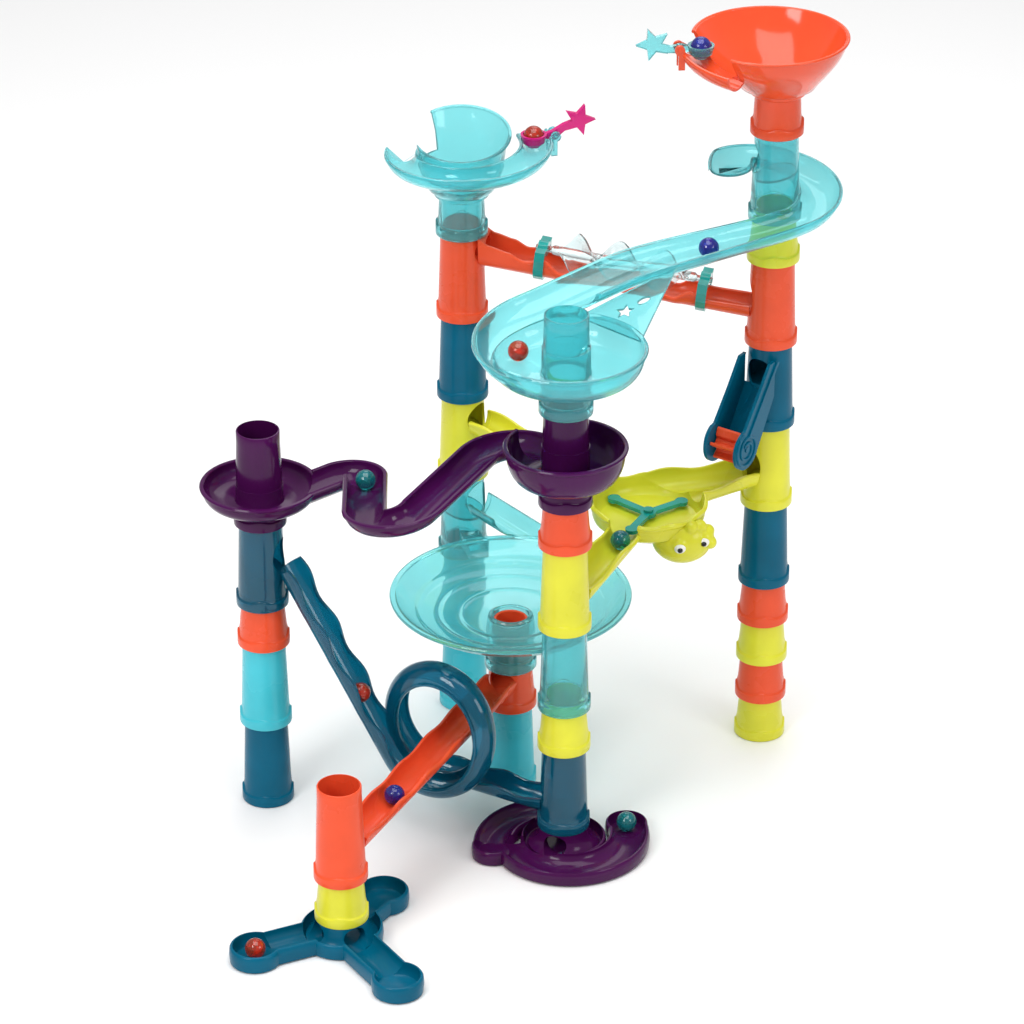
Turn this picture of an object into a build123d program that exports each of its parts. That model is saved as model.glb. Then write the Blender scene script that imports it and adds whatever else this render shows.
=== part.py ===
from build123d import *
import os
from math import acos, atan2, ceil, cos, degrees, hypot, pi, radians, sin, sqrt

# Marble run of stacking tubes, chutes, bowls and funnels.  Millimetres, +Z up.

# ---------------------------------------------------------------- driving dimensions
STEP = 36.0             # height that one short ring adds to a tower
LONG = 2 * STEP         # height that one long tube adds
COLLAR_R = 21.0         # outside radius of the collar at the foot of a tube
COLLAR_H = 10.0         # height of the collar
BODY_R = 19.3           # outside radius of a tube just above its collar
SPIGOT_R = 17.2         # outside radius of the plain top that enters the next collar
SPIGOT = 9.0            # length of that plain top
BORE_R = 15.4           # inside radius of the plain top
SOCKET_R = 17.45        # inside radius of the collar
WALL = 1.8              # wall of every chute and bowl
MARBLE_R = 8.0          # 16 mm glass marbles
GAP = 0.35              # a resting marble's gap to its floor
BASE_H = 21.0           # height of the two catching bases

# middle of the run's footprint, measured on the layout below
CENTRE = (2.815, -33.517)


def plan(x, y):
    """Layout point moved so that the run's footprint is centred on the origin."""
    return x - CENTRE[0], y - CENTRE[1]


# tower axes seen from above
REAR = plan(-45.0, 173.0)
MIDDLE = plan(-6.0, 46.0)
FRONT = plan(36.0, -57.0)
LEFT = plan(-203.0, 20.0)
RIGHT = plan(201.0, 124.0)
CORNER = plan(-136.0, -191.0)

# heights of the stations where chutes and bowls join the towers (channel floors)
SPINNER_FLOOR = (408.0, 382.0)      # rear tower end, right tower end
MERGE_PAN = (*plan(104.0, 70.0), 228.0)    # centre and floor of the merging pan
PAN_R = 44.0            # inside radius of the merging pan
MERGE_REAR_FLOOR = 258.0
MERGE_RIGHT_FLOOR = 236.0
MERGE_FRONT_FLOOR = 213.0
LONG_CHUTE_FLOOR = (89.0, 72.0)     # middle tower end, corner tower end
VORTEX_HOLE_Z = 152.0
VORTEX_RIM_Z = 174.0
VORTEX_R = 95.0
SWERVE_FRONT_BASE = BASE_H + 8 * STEP
SWERVE_FRONT_H = 79.0
SWERVE_FLOOR = (332.0, 272.0)       # front ring bowl, left ring bowl
SLIDE_TOP_FLOOR = 506.0
SLIDE_BOWL_FLOOR = 421.0
LOOP_FLOOR = (212.0, 33.0)          # left tower end, front tower end

PARTS = "parts"


# ---------------------------------------------------------------- plan geometry
def heading(start, end):
    """Direction in radians from one plan point to another."""
    return atan2(end[1] - start[1], end[0] - start[0])


def ahead(point, angle, distance, side=0.0):
    """Plan point at a distance along a direction, moved sideways to its left."""
    return (point[0] + distance * cos(angle) - side * sin(angle),
            point[1] + distance * sin(angle) + side * cos(angle))


def round_corners(corners, radii, turn_step=15.0):
    """Plan points and headings along straight runs joined by tangent arcs."""
    places = [(corners[0], heading(corners[0], corners[1]))]
    for before, corner, after, radius in zip(corners, corners[1:], corners[2:], radii):
        way_in = heading(before, corner)
        way_out = heading(corner, after)
        turn = (way_out - way_in + pi) % (2 * pi) - pi
        tangent = radius * abs(sin(turn / 2) / cos(turn / 2))
        start = ahead(corner, way_in, -tangent)
        hand = 1.0 if turn > 0 else -1.0
        centre = ahead(start, way_in, 0, hand * radius)
        count = max(2, ceil(abs(degrees(turn)) / turn_step))
        for index in range(count + 1):
            angle = way_in + turn * index / count
            places.append((ahead(centre, angle, 0, -hand * radius), angle))
    places.append((corners[-1], heading(corners[-2], corners[-1])))
    return places


def descend(places, top, bottom):
    """Turn plan places into stations whose floor falls evenly from top to bottom."""
    lengths = [0.0]
    for (here, _), (there, _) in zip(places, places[1:]):
        lengths.append(lengths[-1] + hypot(there[0] - here[0], there[1] - here[1]))
    total = lengths[-1]
    return [(Vector(p[0], p[1], top + (bottom - top) * run / total), Vector(-sin(a), cos(a), 0),
             Vector(0, 0, 1)) for (p, a), run in zip(places, lengths)]


def straight(start, end, top, bottom):
    """Stations of a straight chute between two plan points."""
    way = heading(start, end)
    return descend([(start, way), (end, way)], top, bottom)


# ---------------------------------------------------------------- basic solids
def revolved(outline):
    """Solid of revolution about Z from a closed outline of (radius, height) points."""
    face = make_face(Polyline(*[(r, 0, z) for r, z in outline], close=True))
    return revolve(face, Axis.Z)


def drum(radius, bottom, top, centre=(0.0, 0.0)):
    """Plain upright cylinder between two heights."""
    return Pos(centre[0], centre[1], (bottom + top) / 2) * Cylinder(radius, top - bottom)


def half_ellipse(half_width, depth, count=8):
    """Round-bottomed section from its left rim to its right rim, lowest point at zero."""
    return [(-half_width * cos(pi * i / count), depth * (1 - sin(pi * i / count)))
            for i in range(count + 1)]


def lofted(stations, section):
    """Ruled solid through one section, or one section for each station."""
    wires = []
    for index, (point, side, up) in enumerate(stations):
        outline = section(index) if callable(section) else section
        wires.append(Wire.make_polygon([point + side * u + up * v for u, v in outline], close=True))
    return Solid.make_loft(wires, ruled=True)


def trough(stations, half_width=12.0, depth=17.0, wall=WALL):
    """Filled outside of a chute."""
    outline = [(u, v - wall) for u, v in half_ellipse(half_width + wall, depth + wall)]
    return lofted(stations, outline)


def plug(stations, half_width=12.0, depth=17.0, headroom=30.0):
    """Space inside a chute, open upwards."""
    outline = half_ellipse(half_width, depth)
    outline += [(half_width, depth + headroom), (-half_width, depth + headroom)]
    return lofted(stations, outline)


def mouth(centre, angle, floor, half_width=12.0, height=34.0):
    """Oval hole through one side of a tube, from its axis outwards."""
    run = [(Vector(*ahead(centre, angle, d), floor), Vector(-sin(angle), cos(angle), 0),
            Vector(0, 0, 1)) for d in (2.0, 28.0)]
    oval = half_ellipse(half_width, height / 2)
    oval += [(u, height - v) for u, v in oval[-2:0:-1]]
    return lofted(run, oval)


# ---------------------------------------------------------------- tubes
def tube(height):
    """Tapered tube: socket and collar at its foot, plain spigot at its top."""
    top = height + SPIGOT
    return revolved([
        (SOCKET_R, 0), (COLLAR_R - 0.8, 0), (COLLAR_R, 0.8), (COLLAR_R, COLLAR_H - 2),
        (COLLAR_R - 0.5, COLLAR_H - 0.8), (BODY_R, COLLAR_H), (SPIGOT_R, height),
        (SPIGOT_R, top - 0.6), (SPIGOT_R - 0.6, top), (BORE_R, top), (BORE_R, height),
        (BODY_R - WALL, SPIGOT + 4), (BORE_R, SPIGOT + 1.5), (BORE_R, SPIGOT), (SOCKET_R, SPIGOT)])


def standing(solid, tower, level):
    """Move a tube piece to its tower and height."""
    return Pos(tower[0], tower[1], level) * solid


def bore(tower, bottom, top):
    """Space inside a tower, cut out of whatever joins it."""
    return drum(BORE_R + 0.6, bottom, top, tower)


def shelf(tower, angle, floor):
    """Slanted floor inside a tube that turns marbles out through its mouth."""
    disc = drum(BORE_R + 1.0, floor - 12, floor + 14, tower)
    slab = Pos(tower[0], tower[1], floor + 2.2) * Rot(0, 0, degrees(angle)) * Rot(0, 12, 0) * \
        Box(60, 60, 2.0)
    return disc & slab


def one(shape):
    """The single solid of a boolean result."""
    solids = sorted(shape.solids(), key=lambda s: s.volume)
    return solids[-1]


def write(name, *shapes):
    """Write one node, from one solid or a group of separate solids."""
    solids = [solid for shape in shapes for solid in shape.solids()]
    body = solids[0] if len(solids) == 1 else Compound(children=solids)
    export_step(body, os.path.join(PARTS, name + ".step"))


def joined(tubes, troughs, plugs, mouths, bores):
    """Moulded piece: tubes with mouths, chutes hollowed and opened into the tubes."""
    hollow = troughs[0]
    for other in troughs[1:]:
        hollow = hollow + other
    for space in list(plugs) + list(bores):
        hollow = hollow - space
    whole = hollow
    for pipe in tubes:
        for space in mouths:
            pipe = pipe - space
        whole = whole + pipe
    return one(whole)


# ---------------------------------------------------------------- plain tower pieces
def write_plain_tubes():
    """Rings and tubes that only add height."""
    base = BASE_H
    plain = [
        ("rear_foot_tube", REAR, 0, LONG), ("rear_lower_tube", REAR, LONG, LONG),
        ("rear_upper_tube", REAR, 8 * STEP, LONG), ("middle_foot_tube", MIDDLE, 0, LONG),
        ("front_lower_ring", FRONT, base + 2 * STEP, STEP),
        ("front_upper_ring", FRONT, base + 7 * STEP, STEP),
        ("left_foot_tube", LEFT, 0, LONG), ("left_lower_tube", LEFT, LONG, LONG),
        ("left_ring", LEFT, 4 * STEP, STEP), ("right_foot_ring", RIGHT, 0, STEP),
        ("right_second_ring", RIGHT, STEP, STEP), ("right_third_ring", RIGHT, 2 * STEP, STEP),
        ("right_fourth_ring", RIGHT, 3 * STEP, STEP), ("right_middle_tube", RIGHT, 4 * STEP, LONG),
        ("right_upper_ring", RIGHT, 12 * STEP, STEP), ("corner_ring", CORNER, base, STEP)]
    for name, tower, level, height in plain:
        write(name, standing(tube(height), tower, level))


# ---------------------------------------------------------------- spinner chute and auger
SPINNER_WAY = heading(REAR, RIGHT)
AXLE_LIFT = 22.0        # auger axis above the chute floor
AUGER_R = 17.0
AXLE_R = 2.5
AUGER_START = 72.0      # along the chute from the rear tower's axis
AUGER_LENGTH = 116.0


def spinner_frame(run, lift):
    """Plane across the chute at a distance along its floor, X to the side, Y upwards."""
    top, bottom = SPINNER_FLOOR
    start = Vector(*ahead(REAR, SPINNER_WAY, 16), top)
    end = Vector(*ahead(RIGHT, SPINNER_WAY, -16), bottom)
    along = (end - start).normalized()
    side = Vector(-sin(SPINNER_WAY), cos(SPINNER_WAY), 0)
    up = along.cross(side)
    return Plane(origin=start + along * (run - 16) + up * lift, x_dir=side, z_dir=along)


def write_spinner():
    """Orange chute from the rear tower to the right tower, with its auger and brackets."""
    top, bottom = SPINNER_FLOOR
    run = straight(ahead(REAR, SPINNER_WAY, 16), ahead(RIGHT, SPINNER_WAY, -16), top, bottom)
    room = spinner_frame(AUGER_START - 4, AXLE_LIFT) * Pos(0, 0, (AUGER_LENGTH + 8) / 2) * \
        Cylinder(AUGER_R + 2, AUGER_LENGTH + 8)
    tubes = [standing(tube(LONG), tower, 10 * STEP) for tower in (REAR, RIGHT)]
    mouths = [mouth(REAR, SPINNER_WAY, top, height=22), mouth(RIGHT, SPINNER_WAY + pi, bottom)]
    bores = [bore(REAR, 300, 500), bore(RIGHT, 300, 500)]
    body = joined(tubes, [trough(run)], [plug(run), room], mouths, bores)
    body = one(body + shelf(REAR, SPINNER_WAY, top - 3))
    write("spinner_chute", body)

    core = spinner_frame(AUGER_START, AXLE_LIFT) * Pos(0, 0, AUGER_LENGTH / 2) * \
        Cylinder(AXLE_R + 1.5, AUGER_LENGTH)
    shaft = spinner_frame(AUGER_START - 14, AXLE_LIFT) * Pos(0, 0, AUGER_LENGTH / 2 + 14) * \
        Cylinder(AXLE_R, AUGER_LENGTH + 28)
    write("auger_rotor", one(core + shaft + auger_blade()))
    write("auger_bracket_rear", auger_bracket(AUGER_START - 12))
    write("auger_bracket_right", auger_bracket(AUGER_START + AUGER_LENGTH + 4))


def auger_blade():
    """Flat ribbon twisted three half turns about the auger axis, its ends tapered to the core."""
    half_turns = 3
    steps = 20 * half_turns
    margin = 5.0
    thin = 0.9
    travel = AUGER_LENGTH - 2 * margin
    frame = spinner_frame(AUGER_START, AXLE_LIFT)
    wires = []
    for index in range(steps + 1):
        part = index / steps
        angle = pi * half_turns * part
        reach = 5.5 + (AUGER_R - 5.5) * min(1.0, 7 * part, 7 * (1 - part))
        corners = [(-reach, -thin), (reach, -thin), (reach, thin), (-reach, thin)]
        wires.append(Wire.make_polygon(
            [frame.from_local_coords(Vector(u * cos(angle) - v * sin(angle),
                                            u * sin(angle) + v * cos(angle), margin + travel * part))
             for u, v in corners], close=True))
    return Solid.make_loft(wires, ruled=True)


def auger_bracket(run, thick=8.0):
    """Strap clipped round the chute that carries one end of the auger shaft."""
    fit = 0.35
    frame = spinner_frame(run, 0)
    inner = half_ellipse(12 + WALL + fit, 17 + WALL + fit)
    outer = half_ellipse(12 + WALL + 2.8, 17 + WALL + 2.8)
    strap = [(u, v - WALL - fit) for u, v in inner] + [(u, v - WALL - 2.8) for u, v in reversed(outer)]
    band = extrude(frame * make_face(Polyline(*strap, close=True)), thick)
    legs = [frame * Pos(side * 15.4, 19.5, thick / 2) * Box(2.4, 6, thick) for side in (-1, 1)]
    bridge = frame * Pos(0, 22.5, thick / 2) * Box(33.2, 4.5, thick)
    eye = frame * Pos(0, AXLE_LIFT, thick / 2) * Cylinder(6, thick)
    hole = frame * Pos(0, AXLE_LIFT, thick / 2) * Cylinder(AXLE_R + 0.08, thick + 20)
    return one(band + legs[0] + legs[1] + bridge + eye - hole)


# ---------------------------------------------------------------- three-way merge chute
def write_merge():
    """Lime chute that gathers marbles from two towers into a pan and feeds the front tower."""
    x, y, floor = MERGE_PAN
    pan = (x, y)
    ways = [(REAR, MERGE_REAR_FLOOR, floor + 6), (RIGHT, MERGE_RIGHT_FLOOR, floor + 3)]
    runs = [straight(ahead(t, heading(t, pan), 16), ahead(pan, heading(t, pan), -12), high, low)
            for t, high, low in ways]
    in_way = heading(RIGHT, pan)
    runs.append(straight(ahead(RIGHT, in_way, 16), ahead(pan, in_way, -8, -31), MERGE_RIGHT_FLOOR, floor + 3))
    out = heading(pan, FRONT)
    runs.append(straight(ahead(pan, out, 10), ahead(FRONT, out, -16), floor, MERGE_FRONT_FLOOR))
    radius = PAN_R
    dish = Pos(x, y, floor) * revolved([
        (0, -2.2), (radius - 6, -2.2), (radius + 1, 1.0), (radius + 2, 17), (0, 17)])
    space = Pos(x, y, floor) * revolved([
        (0, 0), (radius - 7, 0), (radius - 1, 3), (radius, 40), (0, 40)])
    tubes = [standing(tube(LONG), REAR, 6 * STEP), standing(tube(LONG), RIGHT, 6 * STEP),
             standing(tube(LONG), FRONT, BASE_H + 5 * STEP)]
    mouths = [mouth(REAR, heading(REAR, pan), MERGE_REAR_FLOOR, height=26),
              mouth(RIGHT, heading(RIGHT, pan), MERGE_RIGHT_FLOOR),
              mouth(FRONT, out + pi, MERGE_FRONT_FLOOR)]
    bores = [bore(t, 180, 320) for t in (REAR, RIGHT, FRONT)]
    boss = Pos(x, y, floor) * drum(4.5, -1, 3)
    pin_hole = Pos(x, y, floor) * drum(2.0, -6, 6)
    body = joined(tubes, [trough(run, depth=15) for run in runs] + [dish],
                  [plug(run, depth=15) for run in runs] + [space], mouths, bores)
    for tower, floor_z in ((REAR, MERGE_REAR_FLOOR), (RIGHT, MERGE_RIGHT_FLOOR)):
        body = body + shelf(tower, heading(tower, pan), floor_z - 3)
    body = one(body + boss - pin_hole)
    write("merge_chute", body)
    write_flipper(x, y, floor)
    write_head(x, y, floor, trough(runs[1], 12.1, 15.1))


def write_flipper(x, y, floor):
    """Three-armed gate that swings on a pin in the middle of the pan."""
    lift = floor + 3.3
    thick = 3.2
    gate = drum(6.5, 0, thick)
    for angle, reach in ((138, 36), (35, 33), (244, 32)):
        arm = Rot(0, 0, angle) * Pos(reach / 2, 0, thick / 2) * Box(reach, 6.5, thick)
        gate = gate + arm + drum(5.2, 0, thick, ahead((0, 0), radians(angle), reach))
    gate = gate - drum(2.08, -5, 10)
    write("flipper_gate", Pos(x, y, lift) * one(gate))
    pin = Pos(x, y, lift) * (drum(2.0, -5.5, 4.0) + drum(4.0, 4.0, 5.6))
    write("flipper_pin", pin)


def write_head(x, y, floor, leg):
    """Rounded lime boss against the front of the pan, with two plain round eyes."""
    centre = Vector(x + 26, y - 26, floor - 4)
    ball = Pos(*centre) * scale(Sphere(21), by=(1.15, 0.9, 0.95))
    spots = [(x + 24, y - 42.5, floor - 3), (x + 43, y - 35.5, floor - 1)]
    brow = [Pos(ex, ey + 4.5, ez + 1) * Sphere(8.5) for ex, ey, ez in spots]
    curls = ((0.60, -0.35, 0.72), (0.88, -0.15, 0.42), (0.96, -0.38, 0.02), (0.30, -0.55, 0.78))
    bumps = [Pos(*(centre + Vector(23 * a, 19 * b, 20 * c))) * Sphere(5.5) for a, b, c in curls]
    eyes = [Pos(*spot) * Sphere(5.2) for spot in spots]
    pupils = [Pos(ex, ey - 4.5, ez - 0.6) * Sphere(2.2) for ex, ey, ez in spots]
    fit = 0.05
    pan = Pos(x, y, floor) * revolved([
        (0, -2.2 - fit), (PAN_R - 6, -2.2 - fit), (PAN_R + 1 + fit, 1), (PAN_R + 2 + fit, 17.5), (0, 60)])
    for bump in bumps:
        ball = ball + bump
    body = one(ball + brow[0] + brow[1] - pan - leg - eyes[0] - eyes[1] - pupils[0] - pupils[1])
    write("pan_boss", body)
    write("boss_eyes", one(eyes[0] - pupils[0]), one(eyes[1] - pupils[1]))
    write("boss_pupils", pupils[0], pupils[1])


# ---------------------------------------------------------------- long chute
def write_long_chute():
    """Orange chute from under the vortex bowl to the corner tower, through the loop."""
    way = heading(MIDDLE, CORNER)
    top, bottom = LONG_CHUTE_FLOOR
    width = 11.5
    run = straight(ahead(MIDDLE, way, 16), ahead(CORNER, way, -16), top, bottom)
    tubes = [standing(tube(STEP), MIDDLE, LONG), standing(tube(LONG), CORNER, BASE_H + STEP)]
    mouths = [mouth(MIDDLE, way, top, width, 20), mouth(CORNER, way + pi, bottom, width)]
    body = joined(tubes, [trough(run, width, 15)], [plug(run, width, 15)], mouths,
                  [bore(MIDDLE, 40, 180), bore(CORNER, 40, 180)])
    sleeve_top = VORTEX_HOLE_Z - 1.5
    sleeve = Pos(MIDDLE[0], MIDDLE[1], 0) * revolved([
        (BORE_R, LONG + STEP + 4), (BORE_R + 0.3, LONG + STEP + 7), (13.7, LONG + STEP + 14),
        (13.7, sleeve_top), (11.5, sleeve_top), (11.5, LONG + STEP + 12), (13.0, LONG + STEP + 4)])
    write("long_chute", one(body + shelf(MIDDLE, way, top - 3) + sleeve))


# ---------------------------------------------------------------- vortex bowl
def write_vortex():
    """Wide bowl over the middle tower, carried by a tube on each side."""
    hole_z, rim_z, rim_r = VORTEX_HOLE_Z, VORTEX_RIM_Z, VORTEX_R
    foot = LONG + STEP
    wall = 2.2
    inside = [(14.0, hole_z), (18, hole_z + 1.2), (45, hole_z + 2.5), (66, hole_z + 6),
              (82, hole_z + 12), (rim_r - 3.5, rim_z - 0.5)]
    bowl = Pos(MIDDLE[0], MIDDLE[1], 0) * revolved(
        [(0, hole_z - 3)] + [(r + wall * 0.6, z - wall) for r, z in inside] +
        [(rim_r, rim_z - 1.5), (rim_r, rim_z), (0, rim_z)])
    space = Pos(MIDDLE[0], MIDDLE[1], 0) * revolved(
        [(0, hole_z - 20), (14, hole_z - 20)] + inside + [(rim_r - 2.2, rim_z + 40), (0, rim_z + 40)])
    neck = Pos(MIDDLE[0], MIDDLE[1], foot) * revolved([
        (SOCKET_R, 0), (COLLAR_R - 0.8, 0), (COLLAR_R, 0.8), (COLLAR_R, COLLAR_H),
        (BODY_R, COLLAR_H + 1), (BODY_R - 1, hole_z - foot - 1), (14, hole_z - foot - 1),
        (BORE_R, SPIGOT + 2), (BORE_R, SPIGOT), (SOCKET_R, SPIGOT)])
    join = ahead(MIDDLE, radians(62), 78)
    way = heading(REAR, join)
    run = straight(ahead(REAR, way, 16), join, 184, rim_z - 8)
    lug_way = heading(MIDDLE, REAR)
    lug = Pos(*ahead(MIDDLE, lug_way, 103), 164) * Rot(0, 0, degrees(lug_way)) * Box(30, 16, 12)
    tubes = [standing(tube(LONG), REAR, 4 * STEP), standing(tube(LONG), FRONT, BASE_H + 3 * STEP)]
    mouths = [mouth(REAR, way, 184, height=28)]
    bores = [bore(REAR, 100, 260), bore(FRONT, 100, 260)]
    body = joined(tubes, [bowl, trough(run, depth=13)], [space, plug(run, depth=13)], mouths,
                  bores)
    body = body + (lug - bores[0] - space) + neck + shelf(REAR, way, 181)
    write("vortex_bowl", one(body))


# ---------------------------------------------------------------- swerving chute
def ring_bowl(tower, floor, rim, rim_r, post_r, wall=2.0):
    """Bowl round a tube, as a filled outside and the ring of space inside it."""
    mid = (floor + rim) / 2
    outside = Pos(tower[0], tower[1], 0) * revolved([
        (0, floor - wall - 1), (post_r + 3, floor - wall - 1), (rim_r - 13, floor - wall),
        (rim_r - 1, mid), (rim_r + 1, rim), (0, rim)])
    space = Pos(tower[0], tower[1], 0) * revolved([
        (post_r, floor), (rim_r - 14, floor), (rim_r - 3.5, mid + 1), (rim_r - 0.6, rim),
        (rim_r - 0.6, rim + 40), (post_r, rim + 40)])
    return outside, space


def swerve_stations():
    """Stations of the swerving chute from the front ring bowl to the left ring bowl."""
    offsets = [(-18, 30), (-50, 58), (-152, -90), (-156, 97), (-206, 73)]
    corners = [(FRONT[0] + dx, FRONT[1] + dy) for dx, dy in offsets]
    return descend(round_corners(corners, [26, 24, 16]), *SWERVE_FLOOR)


def write_swerve():
    """Purple chute with a ring bowl at each end and an S-bend between them."""
    run = swerve_stations()
    front_out, front_in = ring_bowl(FRONT, SWERVE_FLOOR[0], SWERVE_FLOOR[0] + 27, 46, BODY_R - 0.6)
    left_out, left_in = ring_bowl(LEFT, SWERVE_FLOOR[1], SWERVE_FLOOR[1] + 14, 45, BODY_R - 0.4)
    width = 14.0
    depth = 14.0
    tubes = [standing(tube(SWERVE_FRONT_H), FRONT, SWERVE_FRONT_BASE),
             standing(tube(LONG), LEFT, 7 * STEP)]
    mouths = [mouth(FRONT, radians(250), SWERVE_FLOOR[0], 11, 24),
              mouth(LEFT, radians(160), SWERVE_FLOOR[1], 11, 24)]
    bores = [bore(FRONT, 280, 420), bore(LEFT, 240, 360)]
    body = joined(tubes, [front_out, left_out, trough(run, width, depth, 2.0)],
                  [front_in, left_in, plug(run, width, depth)], mouths, bores)
    body = body + shelf(FRONT, radians(250), SWERVE_FLOOR[0] - 3)
    write("swerve_chute", one(body))


# ---------------------------------------------------------------- spiral slide
SLIDE_R = 35.2          # centre line round the right tower
SLIDE_BOWL_R = 54.0     # centre line where it enters the ring bowl
SLIDE_WIDTH = 15.0
SLIDE_BEGIN = radians(186)
SLIDE_TURN = 16         # stations round the tower
SLIDE_RUN = 12          # stations along the straight part
SLIDE_ARC = 8           # stations round the ring bowl
SLIDE_FALL = ((0.0, 0.0), (0.33, 0.46), (0.62, 0.60), (0.79, 0.83), (1.0, 1.0))
SLIDE_SPREAD = 0.35     # how much wider the slide gets towards the bowl
SLIDE_BOWL_RIM = 21.0   # height of the ring bowl's rim above its floor


def slide_fall(part):
    """Share of the whole fall that is reached at a share of the slide's length."""
    for (near, above), (far, below) in zip(SLIDE_FALL, SLIDE_FALL[1:]):
        if part <= far:
            return above + (below - above) * (part - near) / (far - near)
    return 1.0


def slide_stations():
    """Clockwise round the right tower, straight across, then into the front ring bowl."""
    apart = hypot(RIGHT[0] - FRONT[0], RIGHT[1] - FRONT[1])
    offset = pi / 2 - acos((SLIDE_R + SLIDE_BOWL_R) / apart)
    way = heading(RIGHT, FRONT) - offset
    leave = way + pi / 2
    sweep = (SLIDE_BEGIN - leave) % (2 * pi)
    places = []
    for index in range(SLIDE_TURN + 1):
        angle = SLIDE_BEGIN - sweep * index / SLIDE_TURN
        places.append((ahead(RIGHT, angle, SLIDE_R), angle - pi / 2))
    enter = way - pi / 2
    start = places[-1][0]
    reach = hypot(*(p - q for p, q in zip(ahead(FRONT, enter, SLIDE_BOWL_R), start)))
    for index in range(1, SLIDE_RUN):
        places.append((ahead(start, way, reach * index / SLIDE_RUN), way))
    for index in range(SLIDE_ARC + 1):
        angle = enter + radians(120) * index / SLIDE_ARC
        places.append((ahead(FRONT, angle, SLIDE_BOWL_R - 12 * index / SLIDE_ARC), angle + pi / 2))
    fall = SLIDE_BOWL_FLOOR + 0.5 - SLIDE_TOP_FLOOR
    stations = []
    for index, (point, side, up) in enumerate(descend(places, 0.0, 1.0)):
        wider = min(1.0, max(0.0, (index - SLIDE_TURN) / (0.6 * SLIDE_RUN)))
        wider = SLIDE_SPREAD * min(wider, (len(places) - 1 - index) / SLIDE_ARC)
        place = Vector(point.X, point.Y, SLIDE_TOP_FLOOR + fall * slide_fall(point.Z))
        stations.append((place - side * (SLIDE_WIDTH * wider), side * (1 + wider), up))
    return stations


def write_slide():
    """Clear slide that winds down from the right tower into a ring bowl on the front tower."""
    foot = SWERVE_FRONT_BASE + SWERVE_FRONT_H
    run = slide_stations()
    bowl_out, bowl_in = ring_bowl(FRONT, SLIDE_BOWL_FLOOR, SLIDE_BOWL_FLOOR + SLIDE_BOWL_RIM, 60,
                                  BODY_R - 0.5)
    tubes = [standing(tube(LONG), RIGHT, 13 * STEP), standing(tube(LONG), FRONT, foot)]
    mouths = [mouth(RIGHT, radians(180), SLIDE_TOP_FLOOR, height=26),
              mouth(FRONT, radians(330), SLIDE_BOWL_FLOOR, 11, 26)]
    bores = [bore(RIGHT, 440, 600), bore(FRONT, 380, 480)]
    body = joined(tubes, [bowl_out, trough(run, SLIDE_WIDTH, 14)],
                  [bowl_in, plug(run, SLIDE_WIDTH, 14, 12)], mouths, bores)
    body = body + shelf(RIGHT, radians(180), SLIDE_TOP_FLOOR - 3)
    write("spiral_slide", one(body + slide_web()))


def slide_web():
    """Thin web between the slide and the bowl's rim, with a star and an oval opening."""
    rim = SLIDE_BOWL_FLOOR + SLIDE_BOWL_RIM - 2.5
    origin = Vector(*ahead(FRONT, radians(80), 58), rim)
    near_rim = Vector(*ahead(FRONT, radians(14), 58), rim)
    point, side, up = slide_stations()[SLIDE_TURN + SLIDE_RUN // 2]
    edge = point + side * (SLIDE_WIDTH + 0.8) + up * 11
    plane = Plane(origin=origin, x_dir=(edge - origin), z_dir=(edge - origin).cross(near_rim - origin))
    corners = [(p.X, p.Y) for p in (plane.to_local_coords(q) for q in (origin, edge, near_rim))]
    middle = [sum(values) / 3 for values in zip(*corners)]
    face = make_face(Polyline(*corners, close=True))
    star = Pos(middle[0] - 6, middle[1]) * make_face(Polyline(*star_points(7.5, 3.6), close=True))
    oval = Pos(middle[0] + 11, middle[1] - 1.5) * Ellipse(5.5, 3.2)
    return extrude(plane * (face - star - oval), 1.0, both=True)


def star_points(tip, root):
    """Outline of a five-pointed star."""
    return [((tip if i % 2 == 0 else root) * cos(pi / 2 + pi * i / 5),
             (tip if i % 2 == 0 else root) * sin(pi / 2 + pi * i / 5)) for i in range(10)]


# ---------------------------------------------------------------- loop
LOOP_AT = 0.59          # share of the way from the left tower to the front tower
LOOP_RX = 48.0          # floor of the loop, half width
LOOP_RZ = 55.0          # floor of the loop, half height
LOOP_Z = 92.0           # height of the loop's centre
LOOP_SHIFT = 13.6       # sideways step that lets the way out pass the way in
LOOP_WIDTH = 11.3
LOOP_DEPTH = 13.0


def loop_place(run, side, z, slope):
    """Station on the loop's upright plane; slope is the direction of travel."""
    way = heading(LEFT, FRONT)
    x, y = ahead(LEFT, way, run, side)
    up = Vector(-sin(slope) * cos(way), -sin(slope) * sin(way), cos(slope))
    return Vector(x, y, z), Vector(-sin(way), cos(way), 0), up


def loop_touch(run, z, lower_left):
    """Angle from the loop's lowest point where a line from a point touches the loop."""
    centre = LOOP_AT * hypot(FRONT[0] - LEFT[0], FRONT[1] - LEFT[1])
    u = (run - centre) / LOOP_RX
    w = (z - LOOP_Z) / LOOP_RZ
    spread = acos(1 / hypot(u, w))
    polar = atan2(w, u) + (spread if lower_left else -spread)
    turn = (polar + pi / 2) % (2 * pi)
    return turn - 2 * pi if turn > pi else turn


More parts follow.
